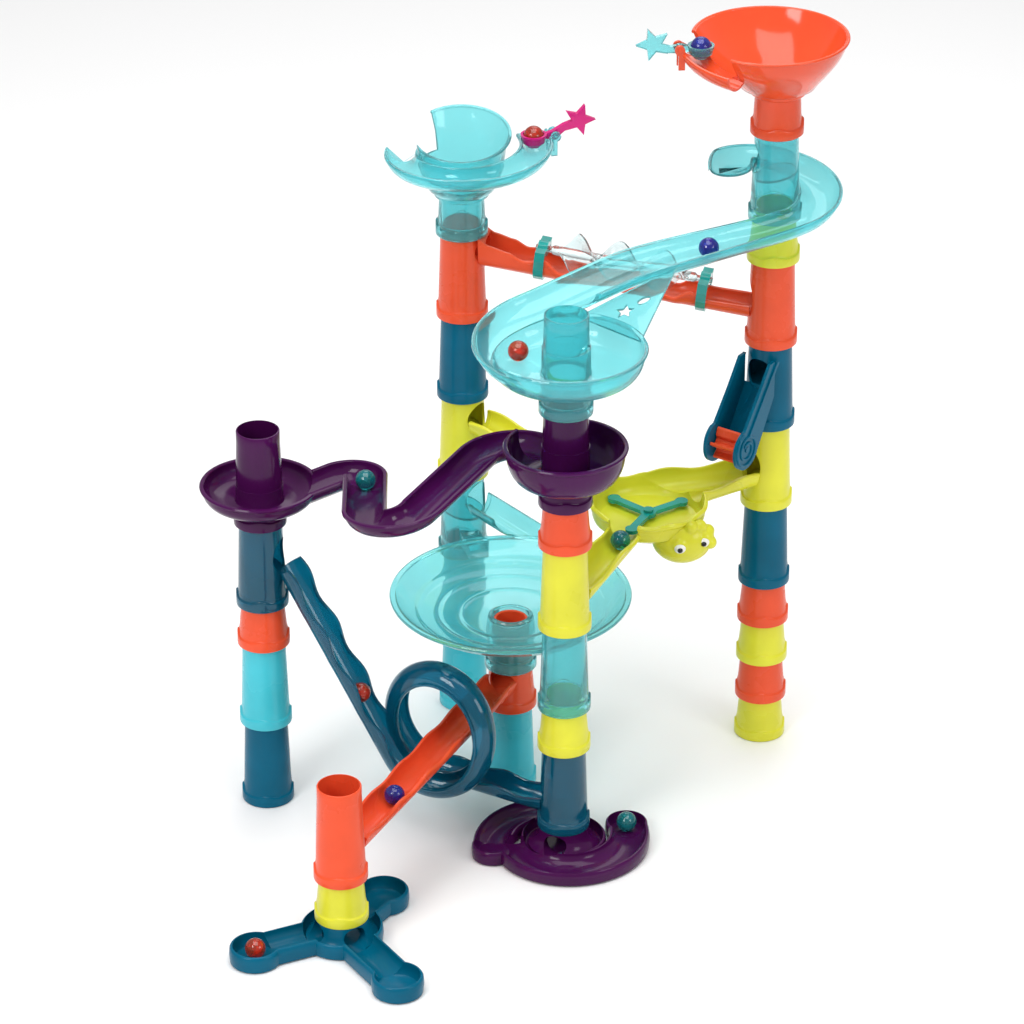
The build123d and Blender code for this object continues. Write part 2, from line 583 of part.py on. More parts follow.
def loop_parts():
    """Stations of the ramp, the loop itself and the way out."""
    span = hypot(FRONT[0] - LEFT[0], FRONT[1] - LEFT[1])
    centre = LOOP_AT * span
    start_run, end_run = 17.0, span - 16.0
    touch = loop_touch(start_run, LOOP_FLOOR[0], True)
    leave = 2 * pi + loop_touch(end_run, LOOP_FLOOR[1], False)
    count = 30
    turnings = []
    for index in range(count + 1):
        turn = touch + (leave - touch) * index / count
        eased = min(1.0, max(0.0, (degrees(turn) - 40) / 280))
        side = LOOP_SHIFT * (2 * eased * eased * (3 - 2 * eased) - 1)
        slope = atan2(LOOP_RZ * sin(turn), LOOP_RX * cos(turn))
        turnings.append(loop_place(centre + LOOP_RX * sin(turn), side,
                                   LOOP_Z - LOOP_RZ * cos(turn), slope))
    first = atan2(LOOP_RZ * sin(touch), LOOP_RX * cos(touch))
    last = atan2(LOOP_RZ * sin(leave), LOOP_RX * cos(leave))
    ramp = [loop_place(start_run, 0, LOOP_FLOOR[0], first), turnings[0]]
    way_out = [turnings[-1], loop_place(end_run, 0, LOOP_FLOOR[1], last)]
    return ramp, turnings, way_out


def write_loop():
    """Blue chute that dives from the left tower, loops once and runs to the front tower."""
    ramp, turnings, way_out = loop_parts()
    stations = ramp[:1] + turnings + way_out[1:]
    way = heading(LEFT, FRONT)
    shell = channel_wall(stations, LOOP_WIDTH, LOOP_DEPTH, WALL)
    tubes = [standing(tube(LONG), LEFT, 5 * STEP), standing(tube(LONG), FRONT, BASE_H)]
    mouths = [mouth(LEFT, way, LOOP_FLOOR[0] - 2, LOOP_WIDTH, 30),
              mouth(FRONT, way + pi, LOOP_FLOOR[1], LOOP_WIDTH, 30)]
    for space in (bore(LEFT, 150, 300), bore(FRONT, 10, 120)):
        shell = shell - space
    body = shell
    for pipe in tubes:
        for space in mouths:
            pipe = pipe - space
        body = body + pipe
    body = body + shelf(LEFT, way, LOOP_FLOOR[0] - 2)
    write("loop_chute", one(body))


def channel_wall(stations, half_width, depth, wall):
    """Thin-walled chute with no filled inside, for a path that turns over itself."""
    inner = half_ellipse(half_width, depth)
    outer = [(u, v - wall) for u, v in half_ellipse(half_width + wall, depth + wall)]
    return lofted(stations, inner + list(reversed(outer)))


# ---------------------------------------------------------------- paddle wheel
PADDLE_WAY = radians(235)
PADDLE_RUN = 56.0
PADDLE_Z = 290.0
PADDLE_R = 13.0
CHEEK_R = 17.0
CHEEK_SIDE = 12.6       # inner face of each cheek from the middle of the channel


def paddle_frame(side=0.0):
    """Plane along the wheel axis: X forwards, Y upwards, Z to the right."""
    x, y = ahead(RIGHT, PADDLE_WAY, 0, side)
    return Plane(origin=(x, y, 0), x_dir=(cos(PADDLE_WAY), sin(PADDLE_WAY), 0),
                 z_dir=(sin(PADDLE_WAY), -cos(PADDLE_WAY), 0))


def write_paddle():
    """Blue tube with a steep channel whose round cheeks carry a paddle wheel."""
    thick = 2.6
    walls = []
    for side in (-1, 1):
        frame = paddle_frame(side * (CHEEK_SIDE + thick / 2))
        plate = make_face(Polyline((17, 352), (17, 322), (40, 284), (64, 281), (66, 298),
                                   (40, 330), (24, 352), close=True))
        disc = Pos(PADDLE_RUN, PADDLE_Z, 0) * Circle(CHEEK_R)
        walls.append(extrude(frame * (plate + disc), thick / 2, both=True))
    frame = paddle_frame()
    floor_plate = make_face(Polyline((16, 327), (16, 323), (39, 285.5), (41, 288.5), close=True))
    slide_floor = extrude(frame * floor_plate, CHEEK_SIDE + 0.5, both=True)
    pipe = standing(tube(LONG), RIGHT, 8 * STEP) - mouth(RIGHT, PADDLE_WAY, 325, 12, 25)
    body = pipe + ((walls[0] + walls[1] + slide_floor) - bore(RIGHT, 280, 380))
    holes = extrude(frame * (Pos(PADDLE_RUN, PADDLE_Z, 0) * Circle(2.5)), 30, both=True)
    body = body - holes + shelf(RIGHT, PADDLE_WAY, 322)
    write("paddle_chute", one(body))

    hub = Circle(4.6) - Circle(2.58)
    vane = make_face(Polyline((3.5, -1.2), (8, -1.6), (12.4, 1.6), (PADDLE_R, 3.4), (11.4, 4.0),
                              (7.6, 1.0), (3.5, 1.2), close=True))
    wheel = hub
    for index in range(5):
        wheel = wheel + Rot(0, 0, 72 * index) * vane
    wheel = wheel - Circle(2.58)
    wheel_solid = extrude(frame * (Pos(PADDLE_RUN, PADDLE_Z, 0) * wheel), 11.6, both=True)
    write("paddle_wheel", one(wheel_solid))
    reach = CHEEK_SIDE + thick + 0.8
    axle = extrude(frame * (Pos(PADDLE_RUN, PADDLE_Z, 0) * Circle(2.5)), reach, both=True)
    write("paddle_axle", axle)


# ---------------------------------------------------------------- funnels and star levers
def lever_plane(tower, angle, reach, height):
    """Plane of a star lever: X outwards from the tower, Y upwards, origin at its pivot."""
    x, y = ahead(tower, angle, reach)
    return Plane(origin=(x, y, height), x_dir=(cos(angle), sin(angle), 0),
                 z_dir=(sin(angle), -cos(angle), 0))


def cone_stack(tower, lean, rings):
    """Solid through level circles (radius, height, share of the sideways lean)."""
    wires = [Wire.make_circle(r, Plane(origin=(tower[0] + lean * share, tower[1], z)))
             for r, z, share in rings]
    return Solid.make_loft(wires, ruled=True)


def funnel(tower, foot, neck_top, lean, outer, inner, rim, drop):
    """Filled outside of a funnel whose rim drops towards the front, its space and its neck."""
    foot_rings = [(BODY_R + 1.5, -1, 0), (BODY_R + 3, 2, 0)]
    well_rings = [(BORE_R, -20, 0), (BORE_R, 3, 0)]
    outside = cone_stack(tower, lean, [(r, neck_top + z, share) for r, z, share in foot_rings + outer])
    space = cone_stack(tower, lean, [(r, neck_top + z, share) for r, z, share in well_rings + inner])
    slope = degrees(atan2(drop, 2 * outer[-1][0]))
    lid = Pos(tower[0], tower[1], rim - drop / 2) * Rot(slope, 0, 0) * Pos(0, 0, 60) * Box(300, 300, 120)
    height = neck_top - foot + 2
    neck = Pos(tower[0], tower[1], foot) * revolved([
        (SOCKET_R, 0), (COLLAR_R - 0.8, 0), (COLLAR_R, 0.8), (COLLAR_R, COLLAR_H - 2),
        (COLLAR_R - 0.5, COLLAR_H - 0.8), (BODY_R - 0.6, COLLAR_H), (SPIGOT_R + 0.6, height),
        (BORE_R, height), (BORE_R, SPIGOT), (SOCKET_R, SPIGOT)])
    return outside - lid, space, neck


def side_channel(tower, start, sweep, radius_in, radius_out, top, bottom):
    """Stations of the outer channel that spirals round a funnel."""
    count = 14
    places = []
    for index in range(count + 1):
        part = index / count
        angle = radians(start + sweep * part)
        radius = radius_out + (radius_in - radius_out) * part
        turn = pi / 2 if sweep > 0 else -pi / 2
        places.append((ahead(tower, angle, radius), angle + turn))
    return descend(places, top, bottom)


def lever_lugs(plane):
    """Two small ears that hold a lever's pin, with the pin hole through both."""
    ears = Circle(4.0) + Pos(-1.5, -8) * Rectangle(5, 16)
    lugs = [extrude(plane * Pos(0, 0, side * 5.2) * ears, 1.2, both=True) for side in (-1, 1)]
    hole = extrude(plane * Circle(1.5), 12, both=True)
    return lugs, hole


def write_lever(name, plane, rise):
    """Star lever: a cup that holds a marble, a hub on the pin, a stem and a star."""
    thick = 2.0
    hub = Circle(3.6)
    stem = make_face(Polyline((-10, -2.2), (0, -3.4), (9, rise - 7), (16, rise - 3.5), (15, rise + 0.5),
                              (7, rise - 2), (-2, 3.4), (-10, 1.2), close=True))
    star = Pos(20, rise) * Rot(0, 0, -20) * make_face(Polyline(*star_points(13.5, 6.2), close=True))
    flat = extrude(plane * (hub + stem + star - Circle(1.58)), thick, both=True)
    place = plane.from_local_coords(Vector(-17, 0.5))
    inner = [(8.55 * sin(radians(a)), -8.55 * cos(radians(a))) for a in (0, 30, 60, 90)]
    outer = [(10.4 * sin(radians(a)), -10.4 * cos(radians(a))) for a in (90, 60, 30, 0)]
    cup = Pos(*place) * revolved(inner + [(8.55, 1.5), (10.4, 1.5)] + outer)
    room = Pos(*place) * drum(8.55, -3, 30)
    write(name, one(flat - room + cup))
    write(name.replace("lever", "pin"), extrude(plane * Circle(1.5), 7.4, both=True))
    return place


def write_funnel(side, shape, run, plane, gap, rise):
    """One starting funnel with its side channel, ears and lever; gap opens its inner wall."""
    outside, space, neck = shape
    lugs, hole = lever_lugs(plane)
    gate = plane * Pos(-17, 4, 0) * Sphere(MARBLE_R + 3.0)
    slot = extrude(plane * Pos(3, 1) * Rectangle(28, 16), 2.8, both=True)
    body = outside - gap if gap else outside
    body = body + trough(run, 11, 12)
    body = body - space - plug(run, 11, 12, 30) + neck - gate - slot
    write(side + "_funnel", one(body + lugs[0] + lugs[1] - hole))
    return write_lever(side + "_star_lever", plane, rise)


def write_funnels():
    """The two starting funnels; the rear one opens to the left at the end of its channel."""
    rear_floor = (497, 491)
    opening = [(0, 0)] + [(47 * cos(radians(a)), 47 * sin(radians(a))) for a in (126, 145, 172, 198)]
    gap = Pos(REAR[0], REAR[1], rear_floor[1] + 1) * extrude(make_face(Polyline(*opening, close=True)), 60)
    dish = funnel(REAR, 12 * STEP, 466, 0, [(31, 13, 0), (36, 41, 0), (43, 60, 0)],
                  [(29.5, 16, 0), (34, 41.5, 0), (41.3, 60.5, 0), (41.3, 90, 0)], 524, 18)
    rear = write_funnel("rear", dish, side_channel(REAR, 24, -210, 47, 61, *rear_floor),
                        lever_plane(REAR, radians(14), 76, 509), gap, 10.5)
    dish = funnel(RIGHT, 15 * STEP, 574, -7,
                  [(34, 11, 0.2), (47, 24, 0.6), (55.5, 35, 0.85), (61, 47, 1)],
                  [(32.5, 13.5, 0.2), (45, 26, 0.6), (53.5, 36.5, 0.85), (59, 47.5, 1), (59, 76, 1)], 620, 0)
    right = write_funnel("right", dish, side_channel(RIGHT, 172, 60, 55, 66, 600, 594),
                         lever_plane(RIGHT, radians(186), 78, 613), None, 4.0)
    return [rear, right]


# ---------------------------------------------------------------- catching bases
def base_hub(tower, mouth_ways):
    """Stub that a tower stands on, hollow, with a mouth towards each arm."""
    hub = standing(revolved([
        (BORE_R, 2), (28, 2), (28, 5), (20.5, 17), (20.5, BASE_H - 0.05), (SPIGOT_R, BASE_H - 0.05),
        (SPIGOT_R, BASE_H + SPIGOT - 0.6), (SPIGOT_R - 0.6, BASE_H + SPIGOT - 0.02),
        (BORE_R, BASE_H + SPIGOT - 0.02)]), tower, 0)
    for angle in mouth_ways:
        hub = hub - mouth(tower, radians(angle), 3.0, 9.5, 17.2)
    return hub


def write_spiral_base():
    """Purple base with two curling arms under the front tower."""
    arms = []
    for start, sweep, near, far in ((185, 195, 40, 54), (100, 95, 38, 58)):
        places = []
        for index in range(13):
            part = index / 12
            angle = radians(start + sweep * part)
            places.append((ahead(FRONT, angle, near + (far - near) * part), angle + pi / 2))
        arms.append(descend(places, 3.4, 3.0))
    cups = [arm[-1][0] for arm in arms]
    outside = drum(34, 0, 11, FRONT)
    space = drum(32, 2.4, 60, FRONT)
    for arm in arms:
        outside = outside + lofted(arm, [(-16, -3), (16, -3), (16, 9), (-16, 9)])
        space = space + plug(arm, 14, 10)
    for cup in cups:
        outside = outside + drum(17, 0, 12, (cup.X, cup.Y))
        space = space + drum(15, 2.6, 60, (cup.X, cup.Y))
    hub = base_hub(FRONT, (250, 130))
    write("spiral_base", one(outside - drum(100, -10, 0, FRONT) - space + hub))
    return cups[0]


def write_tripod_base():
    """Blue base with three channelled arms under the corner tower."""
    arms = ((205, 72), (302, 84), (58, 58))
    outside = drum(32, 0, 13, CORNER)
    space = drum(30, 2.4, 60, CORNER)
    ends = []
    for angle, reach in arms:
        way = radians(angle)
        end = ahead(CORNER, way, reach)
        ends.append(end)
        run = straight(ahead(CORNER, way, 12), end, 3.2, 3.0)
        outside = outside + lofted(run, [(-15, -3), (15, -3), (15, 11), (-15, 11)])
        space = space + plug(run, 12.5, 12)
        outside = outside + drum(20, 0, 14, end)
        space = space + drum(17.5, 2.6, 60, end)
    hub = base_hub(CORNER, [angle for angle, _ in arms])
    write("tripod_base", one(outside - drum(200, -10, 0, CORNER) - space + hub))
    return ends[0]


# ---------------------------------------------------------------- marbles
def marble(x, y, z):
    """Glass marble about a centre."""
    return Pos(x, y, z) * Sphere(MARBLE_R)


def on_run(start, end, part, top, bottom, inset=16.0):
    """Centre of a marble resting on a straight chute."""
    way = heading(start, end)
    span = hypot(end[0] - start[0], end[1] - start[1])
    x, y = ahead(start, way, inset + (span - 2 * inset) * part)
    slope = (top - bottom) / (span - 2 * inset)
    lift = (MARBLE_R + GAP) * sqrt(1 + slope * slope)
    return x, y, top + (bottom - top) * part + lift


def write_marbles(seats, base_cup, tripod_cup):
    """Marbles along the run."""
    write("marble_long_chute", marble(*on_run(MIDDLE, CORNER, 0.72, *LONG_CHUTE_FLOOR)))
    part = slide_stations()[SLIDE_TURN + 4][0]
    write("marble_slide", marble(part.X, part.Y, part.Z + MARBLE_R + 0.5))
    x, y = ahead(FRONT, radians(152), 41)
    write("marble_ring_bowl", marble(x, y, SLIDE_BOWL_FLOOR + MARBLE_R + 0.3))
    ramp, _, _ = loop_parts()
    place = ramp[0][0] + (ramp[1][0] - ramp[0][0]) * 0.66
    rest = place + ramp[1][2] * (MARBLE_R + 0.4)
    write("marble_loop_ramp", marble(rest.X, rest.Y, rest.Z))
    swerve = swerve_stations()
    spot = min(swerve, key=lambda s: hypot(s[0].X - FRONT[0] + 155, s[0].Y - FRONT[1] - 62))[0]
    write("marble_swerve", marble(spot.X, spot.Y, spot.Z + MARBLE_R + 0.6))
    way = heading(MERGE_PAN, FRONT)
    reach = 49.0
    x, y = ahead(MERGE_PAN, way, reach)
    span = hypot(FRONT[0] - MERGE_PAN[0], FRONT[1] - MERGE_PAN[1]) - 26
    floor = MERGE_PAN[2] + (MERGE_FRONT_FLOOR - MERGE_PAN[2]) * (reach - 10) / span
    write("marble_pan", marble(x, y, floor + MARBLE_R + 0.6))
    write("marble_base", marble(base_cup.X, base_cup.Y, 2.6 + MARBLE_R + GAP))
    write("marble_tripod", marble(tripod_cup[0], tripod_cup[1], 2.6 + MARBLE_R + GAP))
    for name, seat in zip(("marble_rear_lever", "marble_right_lever"), seats):
        write(name, marble(seat.X, seat.Y, seat.Z))


def main():
    """Write every piece."""
    os.makedirs(PARTS, exist_ok=True)
    write_plain_tubes()
    write_spinner()
    write_merge()
    write_long_chute()
    write_vortex()
    write_swerve()
    write_slide()
    write_loop()
    write_paddle()
    seats = write_funnels()
    base_cup = write_spiral_base()
    tripod_cup = write_tripod_base()
    write_marbles(seats, base_cup, tripod_cup)


main()
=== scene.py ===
from math import acos, atan2, ceil, cos, exp, hypot, pi, radians, sin, sqrt, tan

import bmesh
import bpy
import numpy as np
from mathutils import Matrix, Vector


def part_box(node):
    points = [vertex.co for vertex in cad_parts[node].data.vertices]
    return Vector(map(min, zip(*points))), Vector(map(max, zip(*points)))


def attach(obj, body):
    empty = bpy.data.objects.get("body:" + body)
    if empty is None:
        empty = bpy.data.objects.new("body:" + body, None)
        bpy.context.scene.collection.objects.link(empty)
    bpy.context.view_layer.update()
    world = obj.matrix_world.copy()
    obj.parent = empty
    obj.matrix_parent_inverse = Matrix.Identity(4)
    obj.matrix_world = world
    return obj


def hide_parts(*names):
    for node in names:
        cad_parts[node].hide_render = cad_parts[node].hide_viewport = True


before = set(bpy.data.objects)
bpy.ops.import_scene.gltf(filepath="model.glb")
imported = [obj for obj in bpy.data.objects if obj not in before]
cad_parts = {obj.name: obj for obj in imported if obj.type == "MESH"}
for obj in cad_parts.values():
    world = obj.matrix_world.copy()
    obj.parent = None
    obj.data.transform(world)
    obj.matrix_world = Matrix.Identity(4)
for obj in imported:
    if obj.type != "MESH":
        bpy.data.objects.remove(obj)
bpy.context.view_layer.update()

# Looks of the marble run.  Shapes are worked out in millimetres, +Z up, and stored in metres.
MM = 0.001
STEP = 36.0                # height that a ring adds
LONG = 72.0                # height that a long tube adds
SPIGOT = 9.0               # length of the plug at the top of a tube
SOCKET_R = 17.45
COLLAR_R = 21.0
BODY_R = 19.3              # tube above its collar
SPIGOT_R = 17.2
BORE_R = 15.4
BASE_H = 21.0              # lift that a catching base gives its tower
WALL = 1.8
ROUND = 96                 # segments round a tube
UP = Vector((0, 0, 1))


def middle(node):
    """Plan centre of a CAD node, in millimetres."""
    lo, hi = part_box(node)
    return ((lo.x + hi.x) / 2 / MM, (lo.y + hi.y) / 2 / MM)


REAR = middle("rear_foot_tube")
MIDDLE = middle("middle_foot_tube")
FRONT = middle("front_lower_ring")
LEFT = middle("left_foot_tube")
RIGHT = middle("right_foot_ring")
CORNER = middle("corner_ring")
PAN = middle("flipper_pin")


# ---- plan geometry
def heading(start, end):
    return atan2(end[1] - start[1], end[0] - start[0])


def ahead(point, angle, distance, side=0.0):
    """Plan point at a distance along a direction, moved sideways to its left."""
    return (point[0] + distance * cos(angle) - side * sin(angle),
            point[1] + distance * sin(angle) + side * cos(angle))


def outward(angle):
    """Level unit vector at an angle."""
    return Vector((cos(angle), sin(angle), 0))


def leftward(angle):
    """Level unit vector to the left of an angle."""
    return Vector((-sin(angle), cos(angle), 0))


def circle(radius, at=(0.0, 0.0), count=28):
    return [(at[0] + radius * cos(2 * pi * k / count), at[1] + radius * sin(2 * pi * k / count))
            for k in range(count)]


def between(a, b, part):
    return a + (b - a) * part


def eased(part):
    """Smooth step from 0 to 1."""
    part = min(1.0, max(0.0, part))
    return part * part * (3 - 2 * part)


def graph(points, x):
    """Smooth value at x of a curve through (x, value) points."""
    if x <= points[0][0]:
        return points[0][1]
    for (xa, ya), (xb, yb) in zip(points, points[1:]):
        if x <= xb:
            return between(ya, yb, eased((x - xa) / (xb - xa)))
    return points[-1][1]


def round_corners(corners, radii, turn_step=6.0):
    """Plan points and headings along straight runs joined by tangent arcs."""
    places = [(corners[0], heading(corners[0], corners[1]))]
    for before, corner, after, radius in zip(corners, corners[1:], corners[2:], radii):
        way_in = heading(before, corner)
        turn = (heading(corner, after) - way_in + pi) % (2 * pi) - pi
        hand = 1.0 if turn > 0 else -1.0
        start = ahead(corner, way_in, -radius * abs(tan(turn / 2)))
        centre = ahead(start, way_in, 0, hand * radius)
        count = max(2, ceil(abs(turn) / radians(turn_step)))
        for index in range(count + 1):
            angle = way_in + turn * index / count
            places.append((ahead(centre, angle, 0, -hand * radius), angle))
    places.append((corners[-1], heading(corners[-2], corners[-1])))
    return places


def descend(places, top, bottom):
    """Stations (point, side, up, run) whose floor falls evenly from top to bottom."""
    runs = [0.0]
    for (here, _), (there, _) in zip(places, places[1:]):
        runs.append(runs[-1] + hypot(there[0] - here[0], there[1] - here[1]))
    return [(Vector((*p, between(top, bottom, run / runs[-1]))), leftward(a), UP, run)
            for (p, a), run in zip(places, runs)]


def straight(start, end, top, bottom, step=4.0):
    """Stations of a straight chute between two plan points."""
    way = heading(start, end)
    count = max(2, ceil(hypot(end[0] - start[0], end[1] - start[1]) / step))
    places = [((between(start[0], end[0], i / count), between(start[1], end[1], i / count)), way)
              for i in range(count + 1)]
    return descend(places, top, bottom)


# ---- closed meshes
def weld(mesh):
    """Merge points that coincide and turn every face outwards."""
    work = bmesh.new()
    work.from_mesh(mesh)
    bmesh.ops.remove_doubles(work, verts=work.verts, dist=1e-7)
    bmesh.ops.recalc_face_normals(work, faces=work.faces)
    work.to_mesh(mesh)
    work.free()


def solid(points, faces):
    """Closed mesh object from points in millimetres."""
    mesh = bpy.data.meshes.new("solid")
    mesh.from_pydata([(x * MM, y * MM, z * MM) for x, y, z in points], [], faces)
    weld(mesh)
    made = bpy.data.objects.new("solid", mesh)
    bpy.context.scene.collection.objects.link(made)
    return made


def skin(rings, joined=False):
    """Solid through rings of points; joined closes the last ring onto the first."""
    count = len(rings[0])
    points = [tuple(p) for ring in rings for p in ring]
    faces = []
    last = len(rings) if joined else len(rings) - 1
    for i in range(last):
        here, there = i * count, ((i + 1) % len(rings)) * count
        for k in range(count):
            n = (k + 1) % count
            faces.append((here + k, here + n, there + n, there + k))
    if not joined:
        faces.append(tuple(range(count)))
        faces.append(tuple(range((len(rings) - 1) * count, len(rings) * count)))
    return solid(points, faces)


def swept(stations, section):
    """Solid through one section, or one section for each station."""
    rings = []
    for index, (point, side, up, _) in enumerate(stations):
        outline = section(index) if callable(section) else section
        rings.append([point + side * u + up * v for u, v in outline])
    return skin(rings)


def revolved(profile, centre=(0.0, 0.0), rise=None, base=0.0, lean=0.0, count=ROUND):
    """Solid of revolution from a closed (radius, height[, share]) outline above a base level.

    A corner's share says how far it follows rise, a height at each angle, and lean, a shift along x.
    """
    points = []
    places = []
    for r, z, *shares in profile:
        share = shares[0] if shares else 0.0
        axis = centre[0] + lean * share
        if r == 0:
            places.append([len(points)] * count)
            points.append((axis, centre[1], base + z))
            continue
        places.append(list(range(len(points), len(points) + count)))
        for k in range(count):
            angle = 2 * pi * k / count
            extra = share * rise(angle) if rise and share else 0.0
            points.append((axis + r * cos(angle), centre[1] + r * sin(angle), base + z + extra))
    faces = []
    for row, after in zip(places, places[1:] + places[:1]):
        for k in range(count):
            n = (k + 1) % count
            loop = []
            for v in (row[k], row[n], after[n], after[k]):
                if v not in loop:
                    loop.append(v)
            if len(loop) > 2:
                faces.append(tuple(loop))
    return solid(points, faces)


def drum(radius, bottom, top, centre):
    return revolved([(0, bottom), (radius, bottom), (radius, top), (0, top)], centre)


def prism(outline, place, way, across, thick):
    """Flat plate: outline in (way, across) directions about a place, thick on both sides."""
    normal = way.cross(across)
    rings = [[place + way * u + across * v + normal * side for u, v in outline]
             for side in (-thick, thick)]
    return skin(rings)


def evaluated(made):
    """Replace an object's mesh by the result of its modifiers."""
    graph_now = bpy.context.evaluated_depsgraph_get()
    mesh = bpy.data.meshes.new_from_object(made.evaluated_get(graph_now), depsgraph=graph_now)
    made.modifiers.clear()
    made.data = mesh


def carve(base, others, operation):
    """Union or difference of closed meshes; the others are used up."""
    for other in others:
        cut = base.modifiers.new("join", "BOOLEAN")
        cut.operation = operation
        cut.solver = "MANIFOLD"
        cut.object = other
        bpy.context.view_layer.update()
        evaluated(base)
        bpy.data.objects.remove(other)
    return base


def mould(solids, cuts=(), extras=()):
    """One moulding: solids joined, spaces cut, then extras joined."""
    base = carve(solids[0], solids[1:], "UNION")
    carve(base, cuts, "DIFFERENCE")
    return carve(base, extras, "UNION")


# ---- pieces
def finish_piece(made, node, slot, body="root", inner=None, sharp=32.0):
    """Name, shade, paint and mount the look of one CAD node; inner is the paint of its core."""
    made.name = node + "_look"
    mesh = made.data
    mesh.name = made.name
    mesh.materials.clear()
    for name in filter(None, (slot, inner)):
        mesh.materials.append(PAINTS[name])
    for polygon in mesh.polygons:
        polygon.use_smooth = True
    mesh.set_sharp_from_angle(angle=radians(sharp))
    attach(made, body)
    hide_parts(node)


# ---- materials
PAINTS = {}
CLOUD_SCALE, PEEL_SCALE = 20.0, 480.0
PEEL_STRENGTH, PEEL_DEPTH = 0.03, 0.0004


def paint(name, colour, roughness=0.2, transmission=0.0, ior=1.46, coat=0.12, vary=0.10, specular=0.35):
    """Moulded plastic: slight tint changes, uneven gloss and a faint orange-peel surface."""
    made = bpy.data.materials.new(name)
    made.use_nodes = True
    nodes, links = made.node_tree.nodes, made.node_tree.links
    shader = nodes["Principled BSDF"]
    place = nodes.new("ShaderNodeTexCoord")

    def noise(scale, detail):
        pattern = nodes.new("ShaderNodeTexNoise")
        pattern.inputs["Scale"].default_value = scale
        pattern.inputs["Detail"].default_value = detail
        links.new(place.outputs["Object"], pattern.inputs["Vector"])
        return pattern

    clouds = noise(CLOUD_SCALE, 4.0)
    tint = nodes.new("ShaderNodeValToRGB")
    for stop, position, shade in zip(tint.color_ramp.elements, (0.3, 0.7), (1 - vary, 1 + vary)):
        stop.position = position
        stop.color = (*[min(1.0, c * shade) for c in colour], 1)
    links.new(clouds.outputs["Fac"], tint.inputs["Fac"])
    links.new(tint.outputs["Color"], shader.inputs["Base Color"])
    gloss = nodes.new("ShaderNodeMapRange")
    gloss.inputs["To Min"].default_value = roughness * 0.75
    gloss.inputs["To Max"].default_value = roughness * 1.3
    links.new(clouds.outputs["Fac"], gloss.inputs["Value"])
    links.new(gloss.outputs["Result"], shader.inputs["Roughness"])
    relief = nodes.new("ShaderNodeBump")
    relief.inputs["Strength"].default_value = PEEL_STRENGTH
    relief.inputs["Distance"].default_value = PEEL_DEPTH
    links.new(noise(PEEL_SCALE, 2.0).outputs["Fac"], relief.inputs["Height"])
    links.new(relief.outputs["Normal"], shader.inputs["Normal"])
    for socket, value in (("IOR", ior), ("Specular IOR Level", specular), ("Coat Weight", coat),
                          ("Transmission Weight", transmission), ("Coat Roughness", 0.05)):
        shader.inputs[socket].default_value = value
    PAINTS[name] = made


paint("orange", (0.80, 0.084, 0.027), 0.26, specular=0.25)
paint("orange_clear", (0.94, 0.10, 0.028), 0.12, transmission=0.25, coat=0.15, specular=0.4)
paint("lime", (0.72, 0.70, 0.035), 0.28)
paint("petrol", (0.0, 0.110, 0.195), 0.24, coat=0.04, vary=0.14, specular=0.15)
paint("petrol_clear", (0.003, 0.17, 0.29), 0.08, transmission=0.6, coat=0.08, vary=0.15, specular=0.3)
paint("turquoise", (0.05, 0.52, 0.62), 0.26)
paint("teal_clear", (0.27, 0.80, 0.84), 0.06, transmission=0.82, ior=1.33, coat=0.15, vary=0.05, specular=0.5)
paint("teal_deep", (0.02, 0.46, 0.42), 0.12, transmission=0.4)
paint("purple", (0.056, 0.004, 0.060), 0.15, coat=0.08, vary=0.18, specular=0.2)
paint("magenta_clear", (0.80, 0.01, 0.25), 0.12, transmission=0.3)
paint("clear", (0.84, 0.96, 0.98), 0.04, transmission=0.94, coat=0.2, vary=0.04, specular=0.5)
paint("white", (0.86, 0.84, 0.80), 0.2, vary=0.03)
paint("black", (0.012, 0.012, 0.014), 0.12, vary=0.2)
for tone, glass, core in (("red", (0.85, 0.10, 0.04), (0.75, 0.03, 0.01)),
                          ("blue", (0.05, 0.06, 0.55), (0.02, 0.015, 0.30)),
                          ("teal", (0.02, 0.42, 0.45), (0.0, 0.20, 0.24))):
    paint("marble_" + tone, glass, 0.03, transmission=0.75, ior=1.5, specular=0.5)
    paint("vane_" + tone, core, 0.3)


# ---- tubes
def collar_wave(angle):
    """Height of the collar's wavy top edge above its lowest: a bump in front, tabs at the sides."""
    turn = angle % pi - pi / 2
    bump = 2.3 * exp(-(turn / radians(19)) ** 2)
    side = 5.2 * exp(-((abs(turn) - pi / 2) / radians(13)) ** 2)
    return bump + side


def tube(tower, level, height):
    """Tapered tube: socket and wavy collar at its foot, plain spigot at its top."""
    low = 7.4

    def taper(z):
        return between(BODY_R, SPIGOT_R, max(0.0, z - 10) / (height - 10))

    top = height + SPIGOT
    profile = [(SOCKET_R, 0), (COLLAR_R - 0.7, 0), (COLLAR_R - 0.15, 0.25), (COLLAR_R, 0.9),
               (COLLAR_R - 0.1, low - 1.2, 1), (COLLAR_R - 0.35, low - 0.4, 1),
               (COLLAR_R - 1.0, low, 1), (BODY_R + 0.25, low + 0.5, 1), (BODY_R, low + 1.6, 1)]
    profile += [(taper(16), 16), (taper((height + 16) / 2), (height + 16) / 2), (SPIGOT_R, height),
                (SPIGOT_R, top - 0.9), (SPIGOT_R - 0.3, top - 0.25), (SPIGOT_R - 0.8, top),
                (BORE_R + 0.4, top), (BORE_R, top - 0.5), (BORE_R, height),
                (BODY_R - WALL - 0.3, SPIGOT + 5), (BORE_R, SPIGOT + 1.5), (BORE_R, SPIGOT),
                (SOCKET_R, SPIGOT)]
    return revolved(profile, tower, collar_wave, level)


